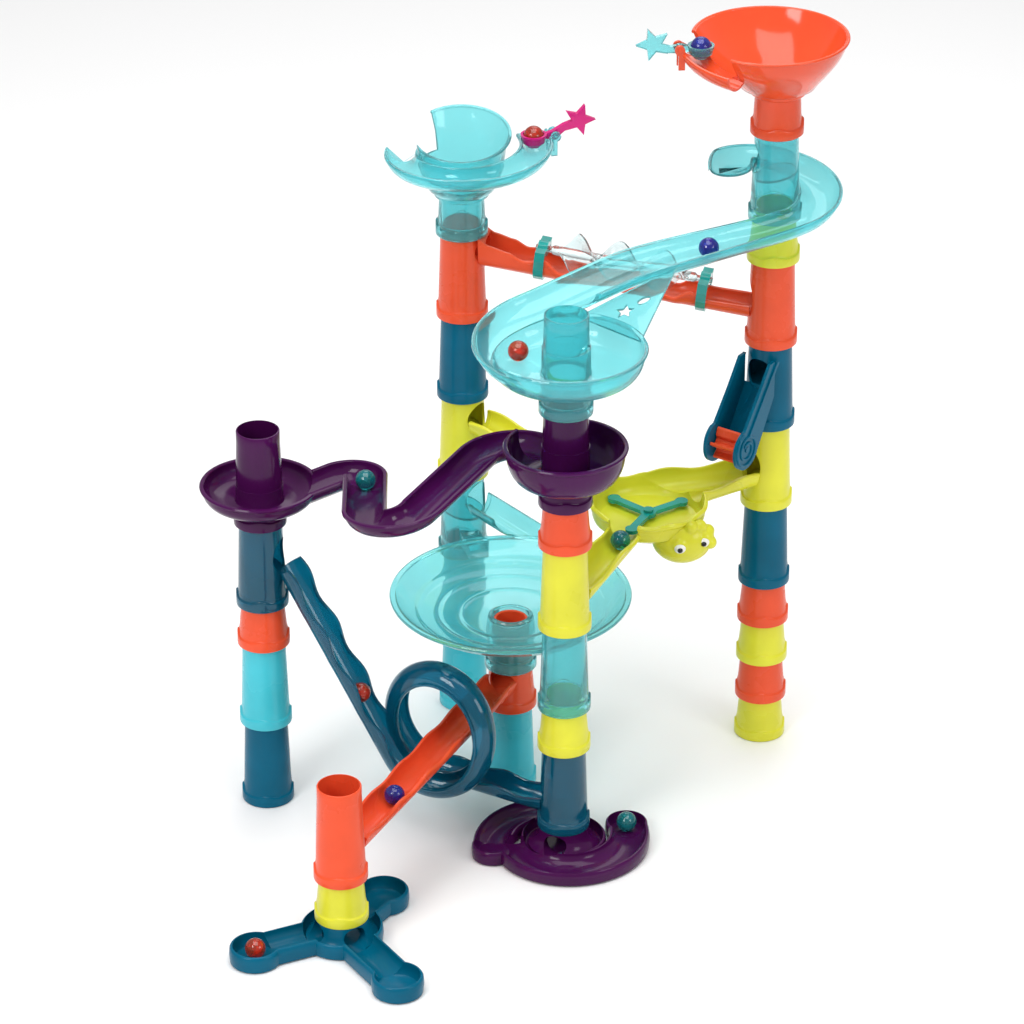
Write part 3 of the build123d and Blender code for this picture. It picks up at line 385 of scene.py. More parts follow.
def mouth(tower, angle, floor, half_width=12.0, height=34.0, reach=28.0):
    """Oval hole through one side of a tube, from near its axis outwards."""
    base = Vector((*tower, floor))
    way, across = outward(angle), leftward(angle)
    return skin([[base + way * d + across * (-half_width * u) + UP * (height / 2 * (1 - v))
                  for u, v in circle(1.0, count=40)] for d in (2.0, reach)])


def bore(tower, bottom, top):
    return drum(BORE_R + 0.6, bottom, top, tower)


def shelf(tower, angle, floor):
    """Slanted floor inside a tube that turns marbles out through its mouth."""
    slant = tan(radians(12))
    return skin([[(tower[0] + u, tower[1] + v, floor + lift - (u * cos(angle) + v * sin(angle)) * slant)
                  for u, v in circle(BORE_R + 1, count=48)] for lift in (1.2, 3.2)])


# ---- channels
def half_curve(half_width, depth, count=10):
    """Round bottom of a channel from its lowest point to the side."""
    return [(half_width * sin(pi / 2 * i / count), depth * (1 - cos(pi / 2 * i / count)))
            for i in range(count + 1)]


def mirrored(right):
    """Whole outline from its right half, which starts on the middle line."""
    return [(-u, v) for u, v in reversed(right[1:])] + right


def trough(stations, half_width=12.0, depth=17.0, wall=WALL, rim=None, lip=1.0):
    """Filled outside of a chute with a rounded lip; rim gives the rim height at a run."""
    def section(index):
        high = rim(stations[index][3]) if rim else depth
        deep = min(depth, half_width, high - 0.6)
        out = half_width + wall
        right = [(u, v - wall) for u, v in half_curve(out, deep + wall)]
        right += [(out + lip, high - 2.3), (out + lip, high - 1.0), (out + 0.35 * lip, high - 0.1),
                  (out - 0.5, high)]
        return mirrored(right)
    return swept(stations, section)


def plug(stations, half_width=12.0, depth=17.0, headroom=30.0, rim=None):
    """Space inside a chute, open upwards, with a rounded inner edge."""
    def section(index):
        high = rim(stations[index][3]) if rim else depth
        deep = min(depth, half_width, high - 0.6)
        right = half_curve(half_width, deep)
        right += [(half_width + 0.15, high - 0.5), (half_width + 0.8, high + 0.3),
                  (half_width + 0.8, high + headroom)]
        return mirrored(right)
    return swept(stations, section)


def trimmed(stations, first, last):
    """Stations whose run lies between two distances from the ends."""
    total = stations[-1][3]
    return [s for s in stations if first <= s[3] <= total - last]


# ---- plain tubes
PLAIN = {
    "rear_foot_tube": "turquoise", "rear_lower_tube": "turquoise", "rear_upper_tube": "petrol",
    "middle_foot_tube": "turquoise", "front_lower_ring": "lime", "front_upper_ring": "orange",
    "left_foot_tube": "petrol", "left_lower_tube": "turquoise", "left_ring": "orange",
    "right_foot_ring": "lime", "right_second_ring": "orange", "right_third_ring": "lime",
    "right_fourth_ring": "orange", "right_middle_tube": "petrol", "right_upper_ring": "lime",
    "corner_ring": "lime"}
for node, colour in PLAIN.items():
    lo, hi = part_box(node)
    finish_piece(tube(middle(node), lo.z / MM, (hi.z - lo.z) / MM - SPIGOT), node, colour)


# ---- spinner chute and auger
SPINNER_TOP, SPINNER_BOTTOM = 408.0, 382.0
SPINNER_WAY = heading(REAR, RIGHT)
SPINNER_RIM = [(0, 25), (9, 21), (24, 18.5), (36, 14), (54, 17.5), (66, 9.5), (150, 9.0), (157, 7.5),
               (171, 15), (186, 11), (220, 12)]


def spinner_rim(run):
    return graph(SPINNER_RIM, run)


def make_spinner():
    level, clear_top = 10 * STEP, 500.0
    run = straight(ahead(REAR, SPINNER_WAY, 16), ahead(RIGHT, SPINNER_WAY, -16), SPINNER_TOP,
                   SPINNER_BOTTOM, 2.5)
    cuts = [plug(trimmed(run, 2.6, 2.6), rim=spinner_rim),
            mouth(REAR, SPINNER_WAY, SPINNER_TOP, height=22, reach=22),
            mouth(RIGHT, SPINNER_WAY + pi, SPINNER_BOTTOM, height=32, reach=22),
            bore(REAR, level + SPIGOT, clear_top), bore(RIGHT, level + SPIGOT, clear_top)]
    made = mould([tube(REAR, level, LONG), tube(RIGHT, level, LONG), trough(run, rim=spinner_rim)], cuts,
                 [shelf(REAR, SPINNER_WAY, SPINNER_TOP - 3)])
    finish_piece(made, "spinner_chute", "orange")


def auger_axis():
    """Start, direction, sideways and upward vectors of the auger's axis."""
    start = Vector((*ahead(REAR, SPINNER_WAY, 16), SPINNER_TOP))
    end = Vector((*ahead(RIGHT, SPINNER_WAY, -16), SPINNER_BOTTOM))
    along = (end - start).normalized()
    side = leftward(SPINNER_WAY)
    up = along.cross(side)
    return start + up * 22.0, along, side, up


def make_auger():
    """Clear ribbon twisted three half turns, with rounded edges, on a core and shaft."""
    origin, along, side, up = auger_axis()
    first, length, margin = 56.0, 116.0, 5.0
    half_turns, steps, core_r, blade_r = 3, 120, 5.5, 17.0
    rings = []
    for index in range(steps + 1):
        part = index / steps
        angle = pi * half_turns * part
        reach = core_r + (blade_r - core_r) * eased(min(1.0, 7 * part, 7 * (1 - part)))
        place = origin + along * (first + margin + (length - 2 * margin) * part)
        flat = side * cos(angle) + up * sin(angle)
        face = up * cos(angle) - side * sin(angle)
        edge = [(reach - 3, 1.1), (reach - 1.2, 1.15), (reach - 0.35, 0.75), (reach, 0),
                (reach - 0.35, -0.75), (reach - 1.2, -1.15), (reach - 3, -1.1)]
        outline = edge + [(-u, -v) for u, v in edge]
        rings.append([place + flat * u + face * v for u, v in outline])
    blade = skin(rings)
    profile = [(0, 42.2), (2.2, 42.2), (2.5, 42.6), (2.5, 55), (3.4, 56), (4.0, 57), (4.0, 171),
               (3.4, 172), (2.5, 173), (2.5, 185.4), (2.2, 185.8), (0, 185.8)]
    core = revolved(profile, count=32)
    turn = Matrix((side, up, along)).transposed().to_4x4()
    turn.translation = origin * MM
    core.data.transform(turn)
    weld(core.data)
    finish_piece(mould([core, blade]), "auger_rotor", "clear", "auger")


make_spinner()
make_auger()


# ---- merge chute
PAN_FLOOR = 228.0
PAN_R = 44.0
MERGE_REAR, MERGE_RIGHT, MERGE_FRONT = 258.0, 236.0, 213.0


def make_merge():
    out, in_way = heading(PAN, FRONT), heading(RIGHT, PAN)
    level, front_level, radius = 6 * STEP, BASE_H + 5 * STEP, PAN_R
    legs = [(REAR, MERGE_REAR, PAN_FLOOR + 6, 26), (RIGHT, MERGE_RIGHT, PAN_FLOOR + 3, 34)]
    runs = [straight(ahead(t, heading(t, PAN), 16), ahead(PAN, heading(t, PAN), -12), a, b)
            for t, a, b, _ in legs]
    runs.append(straight(ahead(PAN, out, 10), ahead(FRONT, out, -16), PAN_FLOOR, MERGE_FRONT))
    runs.append(straight(ahead(RIGHT, in_way, 16), ahead(PAN, in_way, -8, -31), MERGE_RIGHT, PAN_FLOOR + 3))
    closed_ends = [(3, 0), (3, 0), (0, 3), (3, 0)]

    def wavy(run):
        return 14.5 + 1.8 * sin(run / 8.5)

    dish = revolved([(0, -2.2), (radius - 9, -2.2), (radius - 4, -1.2), (radius, 2), (radius + 1.4, 6),
                     (radius + 1.8, 12), (radius + 3.4, 14), (radius + 3.4, 15.5, 0.5),
                     (radius + 2.2, 16.8, 1), (0, 16.8)], PAN, lambda a: 1.2 * sin(9 * a), PAN_FLOOR)
    space = revolved([(0, 0), (radius - 10, 0), (radius - 5, 0.9), (radius - 1.6, 4), (radius - 0.4, 8),
                      (radius, 15), (radius + 0.8, 17), (radius + 0.8, 40), (0, 40)], PAN, base=PAN_FLOOR)
    tubes = [tube(REAR, level, LONG), tube(RIGHT, level, LONG), tube(FRONT, front_level, LONG)]
    cuts = [plug(trimmed(run, *ends), depth=15, rim=wavy) for run, ends in zip(runs, closed_ends)]
    cuts += [space] + [mouth(t, heading(t, PAN), a, height=high, reach=22) for t, a, _, high in legs]
    cuts += [mouth(FRONT, out + pi, MERGE_FRONT, reach=22)]
    cuts += [bore(REAR, level + SPIGOT, 310), bore(RIGHT, level + SPIGOT, 310),
             bore(FRONT, front_level + SPIGOT, 300)]
    extras = [shelf(t, heading(t, PAN), a - 3) for t, a, _, _ in legs]
    made = mould(tubes + [trough(r, depth=15, rim=wavy) for r in runs] + [dish], cuts, extras)
    finish_piece(made, "merge_chute", "lime")


make_merge()


# ---- long chute
LONG_TOP, LONG_BOTTOM = 89.0, 72.0


def make_long_chute():
    way = heading(MIDDLE, CORNER)
    width, depth, corner_level = 11.5, 15, BASE_H + STEP

    def rim(run):
        return 14.0 + 1.2 * sin(run / 7.0)

    run = straight(ahead(MIDDLE, way, 16), ahead(CORNER, way, -16), LONG_TOP, LONG_BOTTOM, 2.5)
    cuts = [plug(trimmed(run, 2.6, 2.6), width, depth, rim=rim),
            mouth(MIDDLE, way, LONG_TOP, width, 20, 22),
            mouth(CORNER, way + pi, LONG_BOTTOM, width, reach=22),
            bore(MIDDLE, LONG + SPIGOT, 140), bore(CORNER, corner_level + SPIGOT, 180)]
    top, sleeve_in, sleeve_out = 42.5, 11.5, 13.7
    sleeve = revolved([(BORE_R, 4), (BORE_R + 0.3, 7), (sleeve_out, 14), (sleeve_out, top - 0.5),
                       (sleeve_out - 0.5, top), (sleeve_in + 0.5, top), (sleeve_in, top - 0.5),
                       (sleeve_in, 12), (13.0, 4)], MIDDLE, base=LONG + STEP)
    made = mould([tube(MIDDLE, LONG, STEP), tube(CORNER, corner_level, LONG),
                  trough(run, width, depth, rim=rim)], cuts, [shelf(MIDDLE, way, LONG_TOP - 3), sleeve])
    finish_piece(made, "long_chute", "orange")


make_long_chute()


# ---- vortex bowl
def bowl_floor(points, ridges, count=44):
    """Smooth (radius, height) curve through points with low round ridges on it."""
    first, last = points[0][0], points[-1][0]
    radii, heights = zip(*points)
    curve = []
    for index in range(count + 1):
        r = between(first, last, index / count)
        z = np.interp(r, radii, heights)
        soft = np.mean([np.interp(r + d, radii, heights) for d in (-4, -2, 0, 2, 4)])
        blend = min(1.0, (r - first) / 6, (last - r) / 6)
        lift = sum(0.9 * exp(-((r - at) / 1.3) ** 2) for at in ridges)
        curve.append((r, between(z, soft, max(0.0, blend)) + lift))
    return curve


def make_vortex():
    hole_z, rim_z, rim_r, entry = 152.0, 174.0, 95.0, 184.0
    level, front_level = 4 * STEP, BASE_H + 3 * STEP
    base = [(18, 153.2), (45, 154.5), (66, 158), (82, 164), (rim_r - 3.5, rim_z - 0.5)]
    inside = [(14.0, hole_z + 1.2), (15.0, hole_z + 2.6), (17.0, hole_z + 2.8)]
    inside += bowl_floor(base, (40, 58, 74))
    wall = 2.2
    below = [(r + wall * 0.6, z - wall) for r, z in [(14, hole_z)] + base]
    bowl = revolved([(0, hole_z - 3)] + below + [(rim_r + 1.6, rim_z - 2.6), (rim_r + 2.0, rim_z - 1.0),
                                                (rim_r + 1.2, rim_z), (0, rim_z)], MIDDLE, count=160)
    space = revolved([(0, hole_z - 20), (14, hole_z - 20)] + inside
                     + [(rim_r - 2.2, rim_z + 0.3), (rim_r - 2.0, rim_z + 40), (0, rim_z + 40)],
                     MIDDLE, count=160)
    foot = LONG + STEP
    neck = [(SOCKET_R, 0), (COLLAR_R - 0.7, 0), (COLLAR_R, 0.7), (COLLAR_R - 0.1, 6.2, 1),
            (COLLAR_R - 0.6, 7.2, 1), (BODY_R + 0.2, 8.0, 1), (BODY_R, 16), (BODY_R - 1, hole_z - foot - 1),
            (14, hole_z - foot - 1), (BORE_R, SPIGOT + 2), (BORE_R, SPIGOT), (SOCKET_R, SPIGOT)]
    neck = revolved(neck, MIDDLE, collar_wave, foot)
    join = ahead(MIDDLE, radians(62), 78)
    way = heading(REAR, join)
    run = straight(ahead(REAR, way, 16), join, entry, rim_z - 8)
    lug_way = heading(MIDDLE, REAR)
    spot = Vector((*ahead(MIDDLE, lug_way, 103), 164))
    lug = prism([(-15, -8), (15, -8), (15, 8), (-15, 8)], spot, outward(lug_way), leftward(lug_way), 6)
    made = mould([tube(REAR, level, LONG), tube(FRONT, front_level, LONG), bowl, lug, trough(run, depth=13)],
                 [space, plug(trimmed(run, 3, 0), depth=13), mouth(REAR, way, entry, height=28, reach=22),
                  bore(REAR, level + SPIGOT, 240), bore(FRONT, front_level + SPIGOT, 230)],
                 [neck, shelf(REAR, way, entry - 3)])
    finish_piece(made, "vortex_bowl", "teal_clear")


make_vortex()


# ---- ring bowls
def ring_bowl(tower, floor, rim, rim_r, post_r, wall=2.0):
    """Bowl round a tube: filled outside with a rolled lip, and the ring of space in it."""
    high = rim - floor
    outer = [(0, floor - wall - 1), (post_r + 3, floor - wall - 1)]
    inner = [(post_r, floor + 2.0), (post_r + 0.8, floor + 0.5), (post_r + 2.5, floor)]
    for index in range(9):
        angle = pi / 2 * index / 8
        outer.append((rim_r - 14 + 14 * sin(angle), floor - wall + (high - 2) * (1 - cos(angle))))
        inner.append((rim_r - 16 + 14.2 * sin(angle), floor + (high - 3) * (1 - cos(angle))))
    outer += [(rim_r + 1.8, rim - 2.4), (rim_r + 2.1, rim - 1.2), (rim_r + 1.4, rim - 0.2),
              (rim_r + 0.4, rim), (0, rim)]
    inner += [(rim_r - 1.6, rim - 0.8), (rim_r - 0.6, rim + 0.3), (rim_r - 0.6, rim + 40),
              (post_r, rim + 40)]
    return revolved(outer, tower), revolved(inner, tower)


# ---- swerving chute
SWERVE_TOP, SWERVE_BOTTOM, SWERVE_POST = 332.0, 272.0, 79.0


def swerve_stations():
    offsets = [(-18, 30), (-50, 58), (-152, -90), (-156, 97), (-206, 73)]
    corners = [(FRONT[0] + dx, FRONT[1] + dy) for dx, dy in offsets]
    return descend(round_corners(corners, [26, 24, 16]), SWERVE_TOP, SWERVE_BOTTOM)


def make_swerve():
    run = swerve_stations()
    front_out, front_in = ring_bowl(FRONT, SWERVE_TOP, SWERVE_TOP + 27, 46, BODY_R - 0.6)
    left_out, left_in = ring_bowl(LEFT, SWERVE_BOTTOM, SWERVE_BOTTOM + 14, 45, BODY_R - 0.4)
    level, left_level, front_way = BASE_H + 8 * STEP, 7 * STEP, radians(250)
    width = depth = 14
    track = mould([front_out, left_out, trough(run, width, depth, 2.0, lip=1.4)],
                  [front_in, left_in, plug(run, width, depth)])
    posts = mould([tube(FRONT, level, SWERVE_POST), tube(LEFT, left_level, LONG)],
                  [mouth(FRONT, front_way, SWERVE_TOP, 11, 24),
                   mouth(LEFT, radians(160), SWERVE_BOTTOM, 11, 24)])
    made = mould([track, posts], [bore(FRONT, level + SPIGOT, 420), bore(LEFT, left_level + SPIGOT, 360)],
                 [shelf(FRONT, front_way, SWERVE_TOP - 3)])
    finish_piece(made, "swerve_chute", "purple")


make_swerve()


# ---- spiral slide
SLIDE_TOP, SLIDE_BOWL, SLIDE_RIM = 506.0, 421.0, 21.0
SLIDE_R, SLIDE_BOWL_R, SLIDE_WIDTH = 35.2, 54.0, 15.0
SLIDE_BEGIN, SLIDE_SPREAD = radians(186), 0.35
SLIDE_TURN, SLIDE_RUN, SLIDE_ARC = 48, 36, 24        # stations round the tower, straight, round the bowl
SLIDE_FALL = ((0.0, 0.0), (0.33, 0.46), (0.62, 0.60), (0.79, 0.83), (1.0, 1.0))


def slide_fall(part):
    """Share of the whole fall reached at a share of the slide's length, with soft changes of slope."""
    shares, falls = zip(*SLIDE_FALL)
    return float(np.mean([np.interp(part + d, shares, falls) for d in (-0.03, -0.015, 0, 0.015, 0.03)]))


def slide_stations():
    """Clockwise round the right tower, straight across, then into the front ring bowl."""
    apart = hypot(RIGHT[0] - FRONT[0], RIGHT[1] - FRONT[1])
    way = heading(RIGHT, FRONT) - (pi / 2 - acos((SLIDE_R + SLIDE_BOWL_R) / apart))
    sweep = (SLIDE_BEGIN - way - pi / 2) % (2 * pi)
    angles = [SLIDE_BEGIN - sweep * i / SLIDE_TURN for i in range(SLIDE_TURN + 1)]
    places = [(ahead(RIGHT, angle, SLIDE_R), angle - pi / 2) for angle in angles]
    enter = way - pi / 2
    start, end = places[-1][0], ahead(FRONT, enter, SLIDE_BOWL_R)
    reach = hypot(end[0] - start[0], end[1] - start[1])
    places += [(ahead(start, way, reach * i / SLIDE_RUN), way) for i in range(1, SLIDE_RUN)]
    for index in range(SLIDE_ARC + 1):
        angle = enter + radians(120) * index / SLIDE_ARC
        places.append((ahead(FRONT, angle, SLIDE_BOWL_R - 12 * index / SLIDE_ARC), angle + pi / 2))
    level = descend(places, 0.0, 1.0)
    stations = []
    for index, (point, side, up, run) in enumerate(level):
        wider = min(1.0, max(0.0, (index - SLIDE_TURN) / (0.6 * SLIDE_RUN)))
        wider = SLIDE_SPREAD * min(eased(wider), (len(level) - 1 - index) / SLIDE_ARC)
        place = Vector((point.x, point.y, between(SLIDE_TOP, SLIDE_BOWL + 0.5, slide_fall(point.z))))
        stations.append((place - side * (SLIDE_WIDTH * wider), side * (1 + wider), up, run))
    return stations


def star_points(tip, root):
    turns = [(root if i % 2 else tip, pi / 2 + pi * i / 5) for i in range(10)]
    return [(reach * cos(angle), reach * sin(angle)) for reach, angle in turns]


def slide_web(stations):
    """Thin web between the slide and the bowl's rim, with a star and an oval opening."""
    rim = SLIDE_BOWL + SLIDE_RIM - 2.5
    origin = Vector((*ahead(FRONT, radians(80), 58), rim))
    near_rim = Vector((*ahead(FRONT, radians(14), 58), rim))
    point, side, up, _ = stations[SLIDE_TURN + SLIDE_RUN // 2]
    edge = point + side * (SLIDE_WIDTH + 0.8) + up * 11
    way = (edge - origin).normalized()
    normal = way.cross(near_rim - origin).normalized()
    across = normal.cross(way)
    tri = [(0, 0), ((edge - origin).dot(way), 0),
           ((near_rim - origin).dot(way), (near_rim - origin).dot(across))]
    centre = (sum(p[0] for p in tri) / 3, sum(p[1] for p in tri) / 3)
    plate = prism(tri, origin, way, across, 1.0)
    star = prism([(centre[0] - 6 + u, centre[1] + v) for u, v in star_points(7.5, 3.6)], origin, way,
                 across, 4)
    oval = prism([(centre[0] + 11 + 5.5 * u, centre[1] - 1.5 + 3.2 * v) for u, v in circle(1, count=24)],
                 origin, way, across, 4)
    return carve(plate, [star, oval], "DIFFERENCE")


def make_slide():
    run = slide_stations()
    level, right_level = BASE_H + 8 * STEP + SWERVE_POST, 13 * STEP

    def rim(distance):
        return 6.0 + 8.0 * eased((distance + 2) / 22)

    bowl_out, bowl_in = ring_bowl(FRONT, SLIDE_BOWL, SLIDE_BOWL + SLIDE_RIM, 60, BODY_R - 0.5)
    shell = mould([bowl_out, trough(run, SLIDE_WIDTH, 14, rim=rim)],
                  [bowl_in, plug(run, SLIDE_WIDTH, 14, 12, rim=rim)])
    posts = mould([tube(RIGHT, right_level, LONG), tube(FRONT, level, LONG)],
                  [mouth(RIGHT, pi, SLIDE_TOP, 12, 26), mouth(FRONT, radians(330), SLIDE_BOWL, 11, 26)])
    made = mould([shell, posts, slide_web(run)],
                 [bore(RIGHT, right_level + SPIGOT, 600), bore(FRONT, level + SPIGOT, 490)],
                 [shelf(RIGHT, pi, SLIDE_TOP - 3)])
    finish_piece(made, "spiral_slide", "teal_clear")


make_slide()


# ---- loop
LOOP_TOP, LOOP_BOTTOM = 212.0, 33.0
LOOP_AT, LOOP_RX, LOOP_RZ, LOOP_Z, LOOP_SHIFT = 0.59, 48.0, 55.0, 92.0, 13.6
LOOP_WIDTH, LOOP_DEPTH = 11.3, 13.0


def loop_place(run, side, z, slope):
    way = heading(LEFT, FRONT)
    x, y = ahead(LEFT, way, run, side)
    up = Vector((-sin(slope) * cos(way), -sin(slope) * sin(way), cos(slope)))
    return [Vector((x, y, z)), leftward(way), up, 0.0]


def loop_touch(run, z, lower_left):
    """Angle from the loop's lowest point where a line from a point touches the loop."""
    centre = LOOP_AT * hypot(FRONT[0] - LEFT[0], FRONT[1] - LEFT[1])
    u, w = (run - centre) / LOOP_RX, (z - LOOP_Z) / LOOP_RZ
    spread = acos(1 / hypot(u, w))
    polar = atan2(w, u) + (spread if lower_left else -spread)
    turn = (polar + pi / 2) % (2 * pi)
    return turn - 2 * pi if turn > pi else turn


def loop_stations():
    """Stations of the ramp, the loop and the way out, with their runs."""
    span = hypot(FRONT[0] - LEFT[0], FRONT[1] - LEFT[1])
    centre = LOOP_AT * span
    first_run, last_run = 17.0, span - 16.0
    touch = loop_touch(first_run, LOOP_TOP, True)
    leave = 2 * pi + loop_touch(last_run, LOOP_BOTTOM, False)
    count, ramp_count, out_count = 110, 40, 20
    turnings = []
    for index in range(count + 1):
        turn = between(touch, leave, index / count)
        side = LOOP_SHIFT * (2 * eased((turn / pi * 180 - 40) / 280) - 1)
        slope = atan2(LOOP_RZ * sin(turn), LOOP_RX * cos(turn))
        turnings.append(loop_place(centre + LOOP_RX * sin(turn), side, LOOP_Z - LOOP_RZ * cos(turn), slope))
    first = atan2(LOOP_RZ * sin(touch), LOOP_RX * cos(touch))
    last = atan2(LOOP_RZ * sin(leave), LOOP_RX * cos(leave))
    start = loop_place(first_run, 0, LOOP_TOP, first)
    end = loop_place(last_run, 0, LOOP_BOTTOM, last)
    ramp = [[between(start[0], turnings[0][0], i / ramp_count), start[1], turnings[0][2], 0]
            for i in range(ramp_count)]
    way_out = [[between(turnings[-1][0], end[0], i / out_count), end[1], turnings[-1][2], 0]
               for i in range(1, out_count + 1)]
    stations = ramp + turnings + way_out
    for before, here in zip(stations, stations[1:]):
        here[3] = before[3] + (here[0] - before[0]).length
    return stations, stations[ramp_count][3], stations[ramp_count + count][3]


def make_loop():
    stations, loop_start, loop_end = loop_stations()

    def rim(run):
        if run < loop_start:
            wave = 2.2 * sin(run / 7.5) * eased((loop_start - run) / 15)
        elif run > loop_end:
            wave = 1.6 * sin((run - loop_end) / 6.5)
        else:
            wave = 0.0
        return LOOP_DEPTH + wave

    def section(index):
        run = stations[index][3]
        high = rim(run)
        fat = eased((run - loop_start + 20) / 30) * eased((loop_end + 20 - run) / 30)
        deep = min(LOOP_WIDTH, high - 0.6)
        out = LOOP_WIDTH + WALL
        lip = 0.8 + 1.0 * fat
        outer = [(u, v - WALL) for u, v in half_curve(out, deep + WALL)]
        outer += [(out + lip * 0.7, high - 3.2), (out + lip, high - 2.0), (out + lip * 0.9, high - 0.8),
                  (out + 0.2, high)]
        inner = half_curve(LOOP_WIDTH, deep)[::-1]
        right = outer + [(LOOP_WIDTH + 0.5, high - 0.05), (LOOP_WIDTH + 0.1, high - 0.5)] + inner[:-1]
        left = [(-u, v) for u, v in reversed(right[1:])]
        return right + [(0.0, 0.0)] + left

    shell = swept(stations, section)
    way = heading(LEFT, FRONT)
    tubes = mould([tube(LEFT, 5 * STEP, LONG), tube(FRONT, BASE_H, LONG)],
                  [mouth(LEFT, way, LOOP_TOP - 2, LOOP_WIDTH, 30, 24),
                   mouth(FRONT, way + pi, LOOP_BOTTOM, LOOP_WIDTH, 30, 24)])
    shell = mould([shell], [bore(LEFT, 150, 300), bore(FRONT, 10, 120)])
    made = mould([tubes, shell], [], [shelf(LEFT, way, LOOP_TOP - 2)])
    finish_piece(made, "loop_chute", "petrol_clear")


make_loop()


# ---- funnels
def side_channel(tower, start, sweep, radius_in, radius_out, top, bottom):
    """Stations of the outer channel that spirals round a funnel."""
    places = []
    count = 40
    for index in range(count + 1):
        part = index / count
        angle = radians(start + sweep * part)
        places.append((ahead(tower, angle, between(radius_out, radius_in, part)),
                       angle + (pi / 2 if sweep > 0 else -pi / 2)))
    return descend(places, top, bottom)


def lever_axes(tower, angle, reach, height):
    x, y = ahead(tower, angle, reach)
    return Vector((x, y, height)), outward(angle), UP


def ball(radius, centre, count=48):
    """Closed sphere mesh in millimetres."""
    arc = [pi * k / 24 for k in range(1, 24)]
    profile = [(0, -radius)] + [(radius * sin(a), -radius * cos(a)) for a in arc] + [(0, radius)]
    return revolved(profile, centre[:2], base=centre[2], count=count)


def rim_bead(tower, lean, rim_at, thick=1.3):
    """Rolled bead that follows a rim given as (radius, level) at each angle."""
    rings = []
    for index in range(ROUND):
        angle = 2 * pi * index / ROUND
        radius, level = rim_at(angle)
        out = outward(angle)
        centre = Vector((tower[0] + lean, tower[1], level)) + out * radius
        rings.append([centre + out * u + UP * v for u, v in circle(thick, count=12)])
    return skin(rings, joined=True)


def make_funnel(name, tower, heights, outer, inner, tilt, run, lever, gap, slot):
    """Funnel with a rolled rim, its neck, side channel and ears; corners are above the neck's top."""
    foot, neck_top, rim = heights
    lean, drop = tilt
    wall = 2.0
    radii, levels = [corner[0] for corner in outer], [neck_top + corner[1] for corner in outer]
    rim_r = radii[-1]

    def rim_at(angle):
        level = rim
        for _ in range(8):
            radius = float(np.interp(level, levels, radii))
            level = rim - drop / 2 + drop / 2 * sin(angle) * radius / rim_r
        return radius - 0.5, level - 0.4

    outside = revolved([(0, -1), (BODY_R + 1.5, -1), (BODY_R + 2.6, 0), (BODY_R + 3, 2)] + outer
                       + [(0, outer[-1][1], 1)], tower, base=neck_top, lean=lean)
    space = revolved([(0, -20), (BORE_R, -20), (BORE_R, 2), (BORE_R + 1.5, 4)] + inner
                     + [(0, inner[-1][1], 1)], tower, base=neck_top, lean=lean)
    reach = 3 * rim_r
    slope = drop / (2 * rim_r)
    lid = skin([[(tower[0] + u * reach, tower[1] + v * reach, rim - drop / 2 + v * reach * slope + up)
                 for u, v in ((-1, -1), (1, -1), (1, 1), (-1, 1))] for up in (0, 150)])
    carve(outside, [lid], "DIFFERENCE")
    carve(outside, [rim_bead(tower, lean, rim_at)], "UNION")
    neck = [(SOCKET_R, 0), (COLLAR_R - 0.7, 0), (COLLAR_R, 0.8), (COLLAR_R - 0.1, 6.2, 1),
            (COLLAR_R - 0.6, 7.2, 1), (BODY_R + 0.1, 8.0, 1), (BODY_R - 0.6, 15),
            (SPIGOT_R + 0.6, neck_top - foot + wall), (BORE_R, neck_top - foot + wall),
            (BORE_R, SPIGOT), (SOCKET_R, SPIGOT)]
    neck = revolved(neck, tower, collar_wave, foot)
    place, way, up = lever
    across = way.cross(up)
    if gap:
        first, last, bottom = gap
        sector = [tower] + [ahead(tower, radians(a), 47) for a in range(first, last + 1, 6)]
        opening = skin([[(x, y, z) for x, y in sector] for z in (bottom, bottom + 60)])
        carve(outside, [opening], "DIFFERENCE")
    slot_cut = prism([(-11, -7), (17, -7), (17, 9), (-11, 9)], place, way, up, 2.8)
    extras = [neck]
    for side in (-1, 1):
        spot = place + across * (side * 5.2)
        extras.append(prism(circle(4.0), spot, way, up, 1.2))
        extras.append(prism([(-4, -16), (1, -16), (1, 0), (-4, 0)], spot, way, up, 1.2))
    made = mould([outside, trough(run, 11, 12, lip=0.8)],
                 [space, plug(run, 11, 12, 30), ball(11.0, place - way * 17 + up * 4), slot_cut], extras)
    carve(made, [prism(circle(1.5), place, way, up, 12)], "DIFFERENCE")
    finish_piece(made, name, slot)


make_funnel("rear_funnel", REAR, (12 * STEP, 466, 524),
            [(27, 6, 0), (31, 13, 0), (33.6, 24, 0), (35, 34, 0), (36, 41, 0), (38.2, 47, 0),
             (40.8, 53.5, 0), (43, 60, 0)],
            [(26, 10, 0), (29.5, 16, 0), (32, 28, 0), (34, 41.5, 0), (37.5, 50, 0), (41.3, 60.5, 0),
             (41.3, 90, 0)], (0, 18),
            side_channel(REAR, 24, -210, 47, 61, 497, 491), lever_axes(REAR, radians(14), 76, 509),
            (126, 198, 492), "teal_clear")
make_funnel("right_funnel", RIGHT, (15 * STEP, 574, 620),
            [(30, 6, 0.1), (34, 11, 0.2), (41, 17.5, 0.42), (47, 24, 0.6), (51.8, 29.5, 0.74),
             (55.5, 35, 0.85), (58.6, 41, 0.94), (61, 47, 1)],
            [(28, 9, 0.1), (32.5, 13.5, 0.2), (39.3, 20, 0.42), (45, 26, 0.6), (53.5, 36.5, 0.85),
             (59, 47.5, 1), (59, 76, 1)], (-7, 0),
            side_channel(RIGHT, 172, 60, 55, 66, 600, 594), lever_axes(RIGHT, radians(186), 78, 613),
            None, "orange_clear")


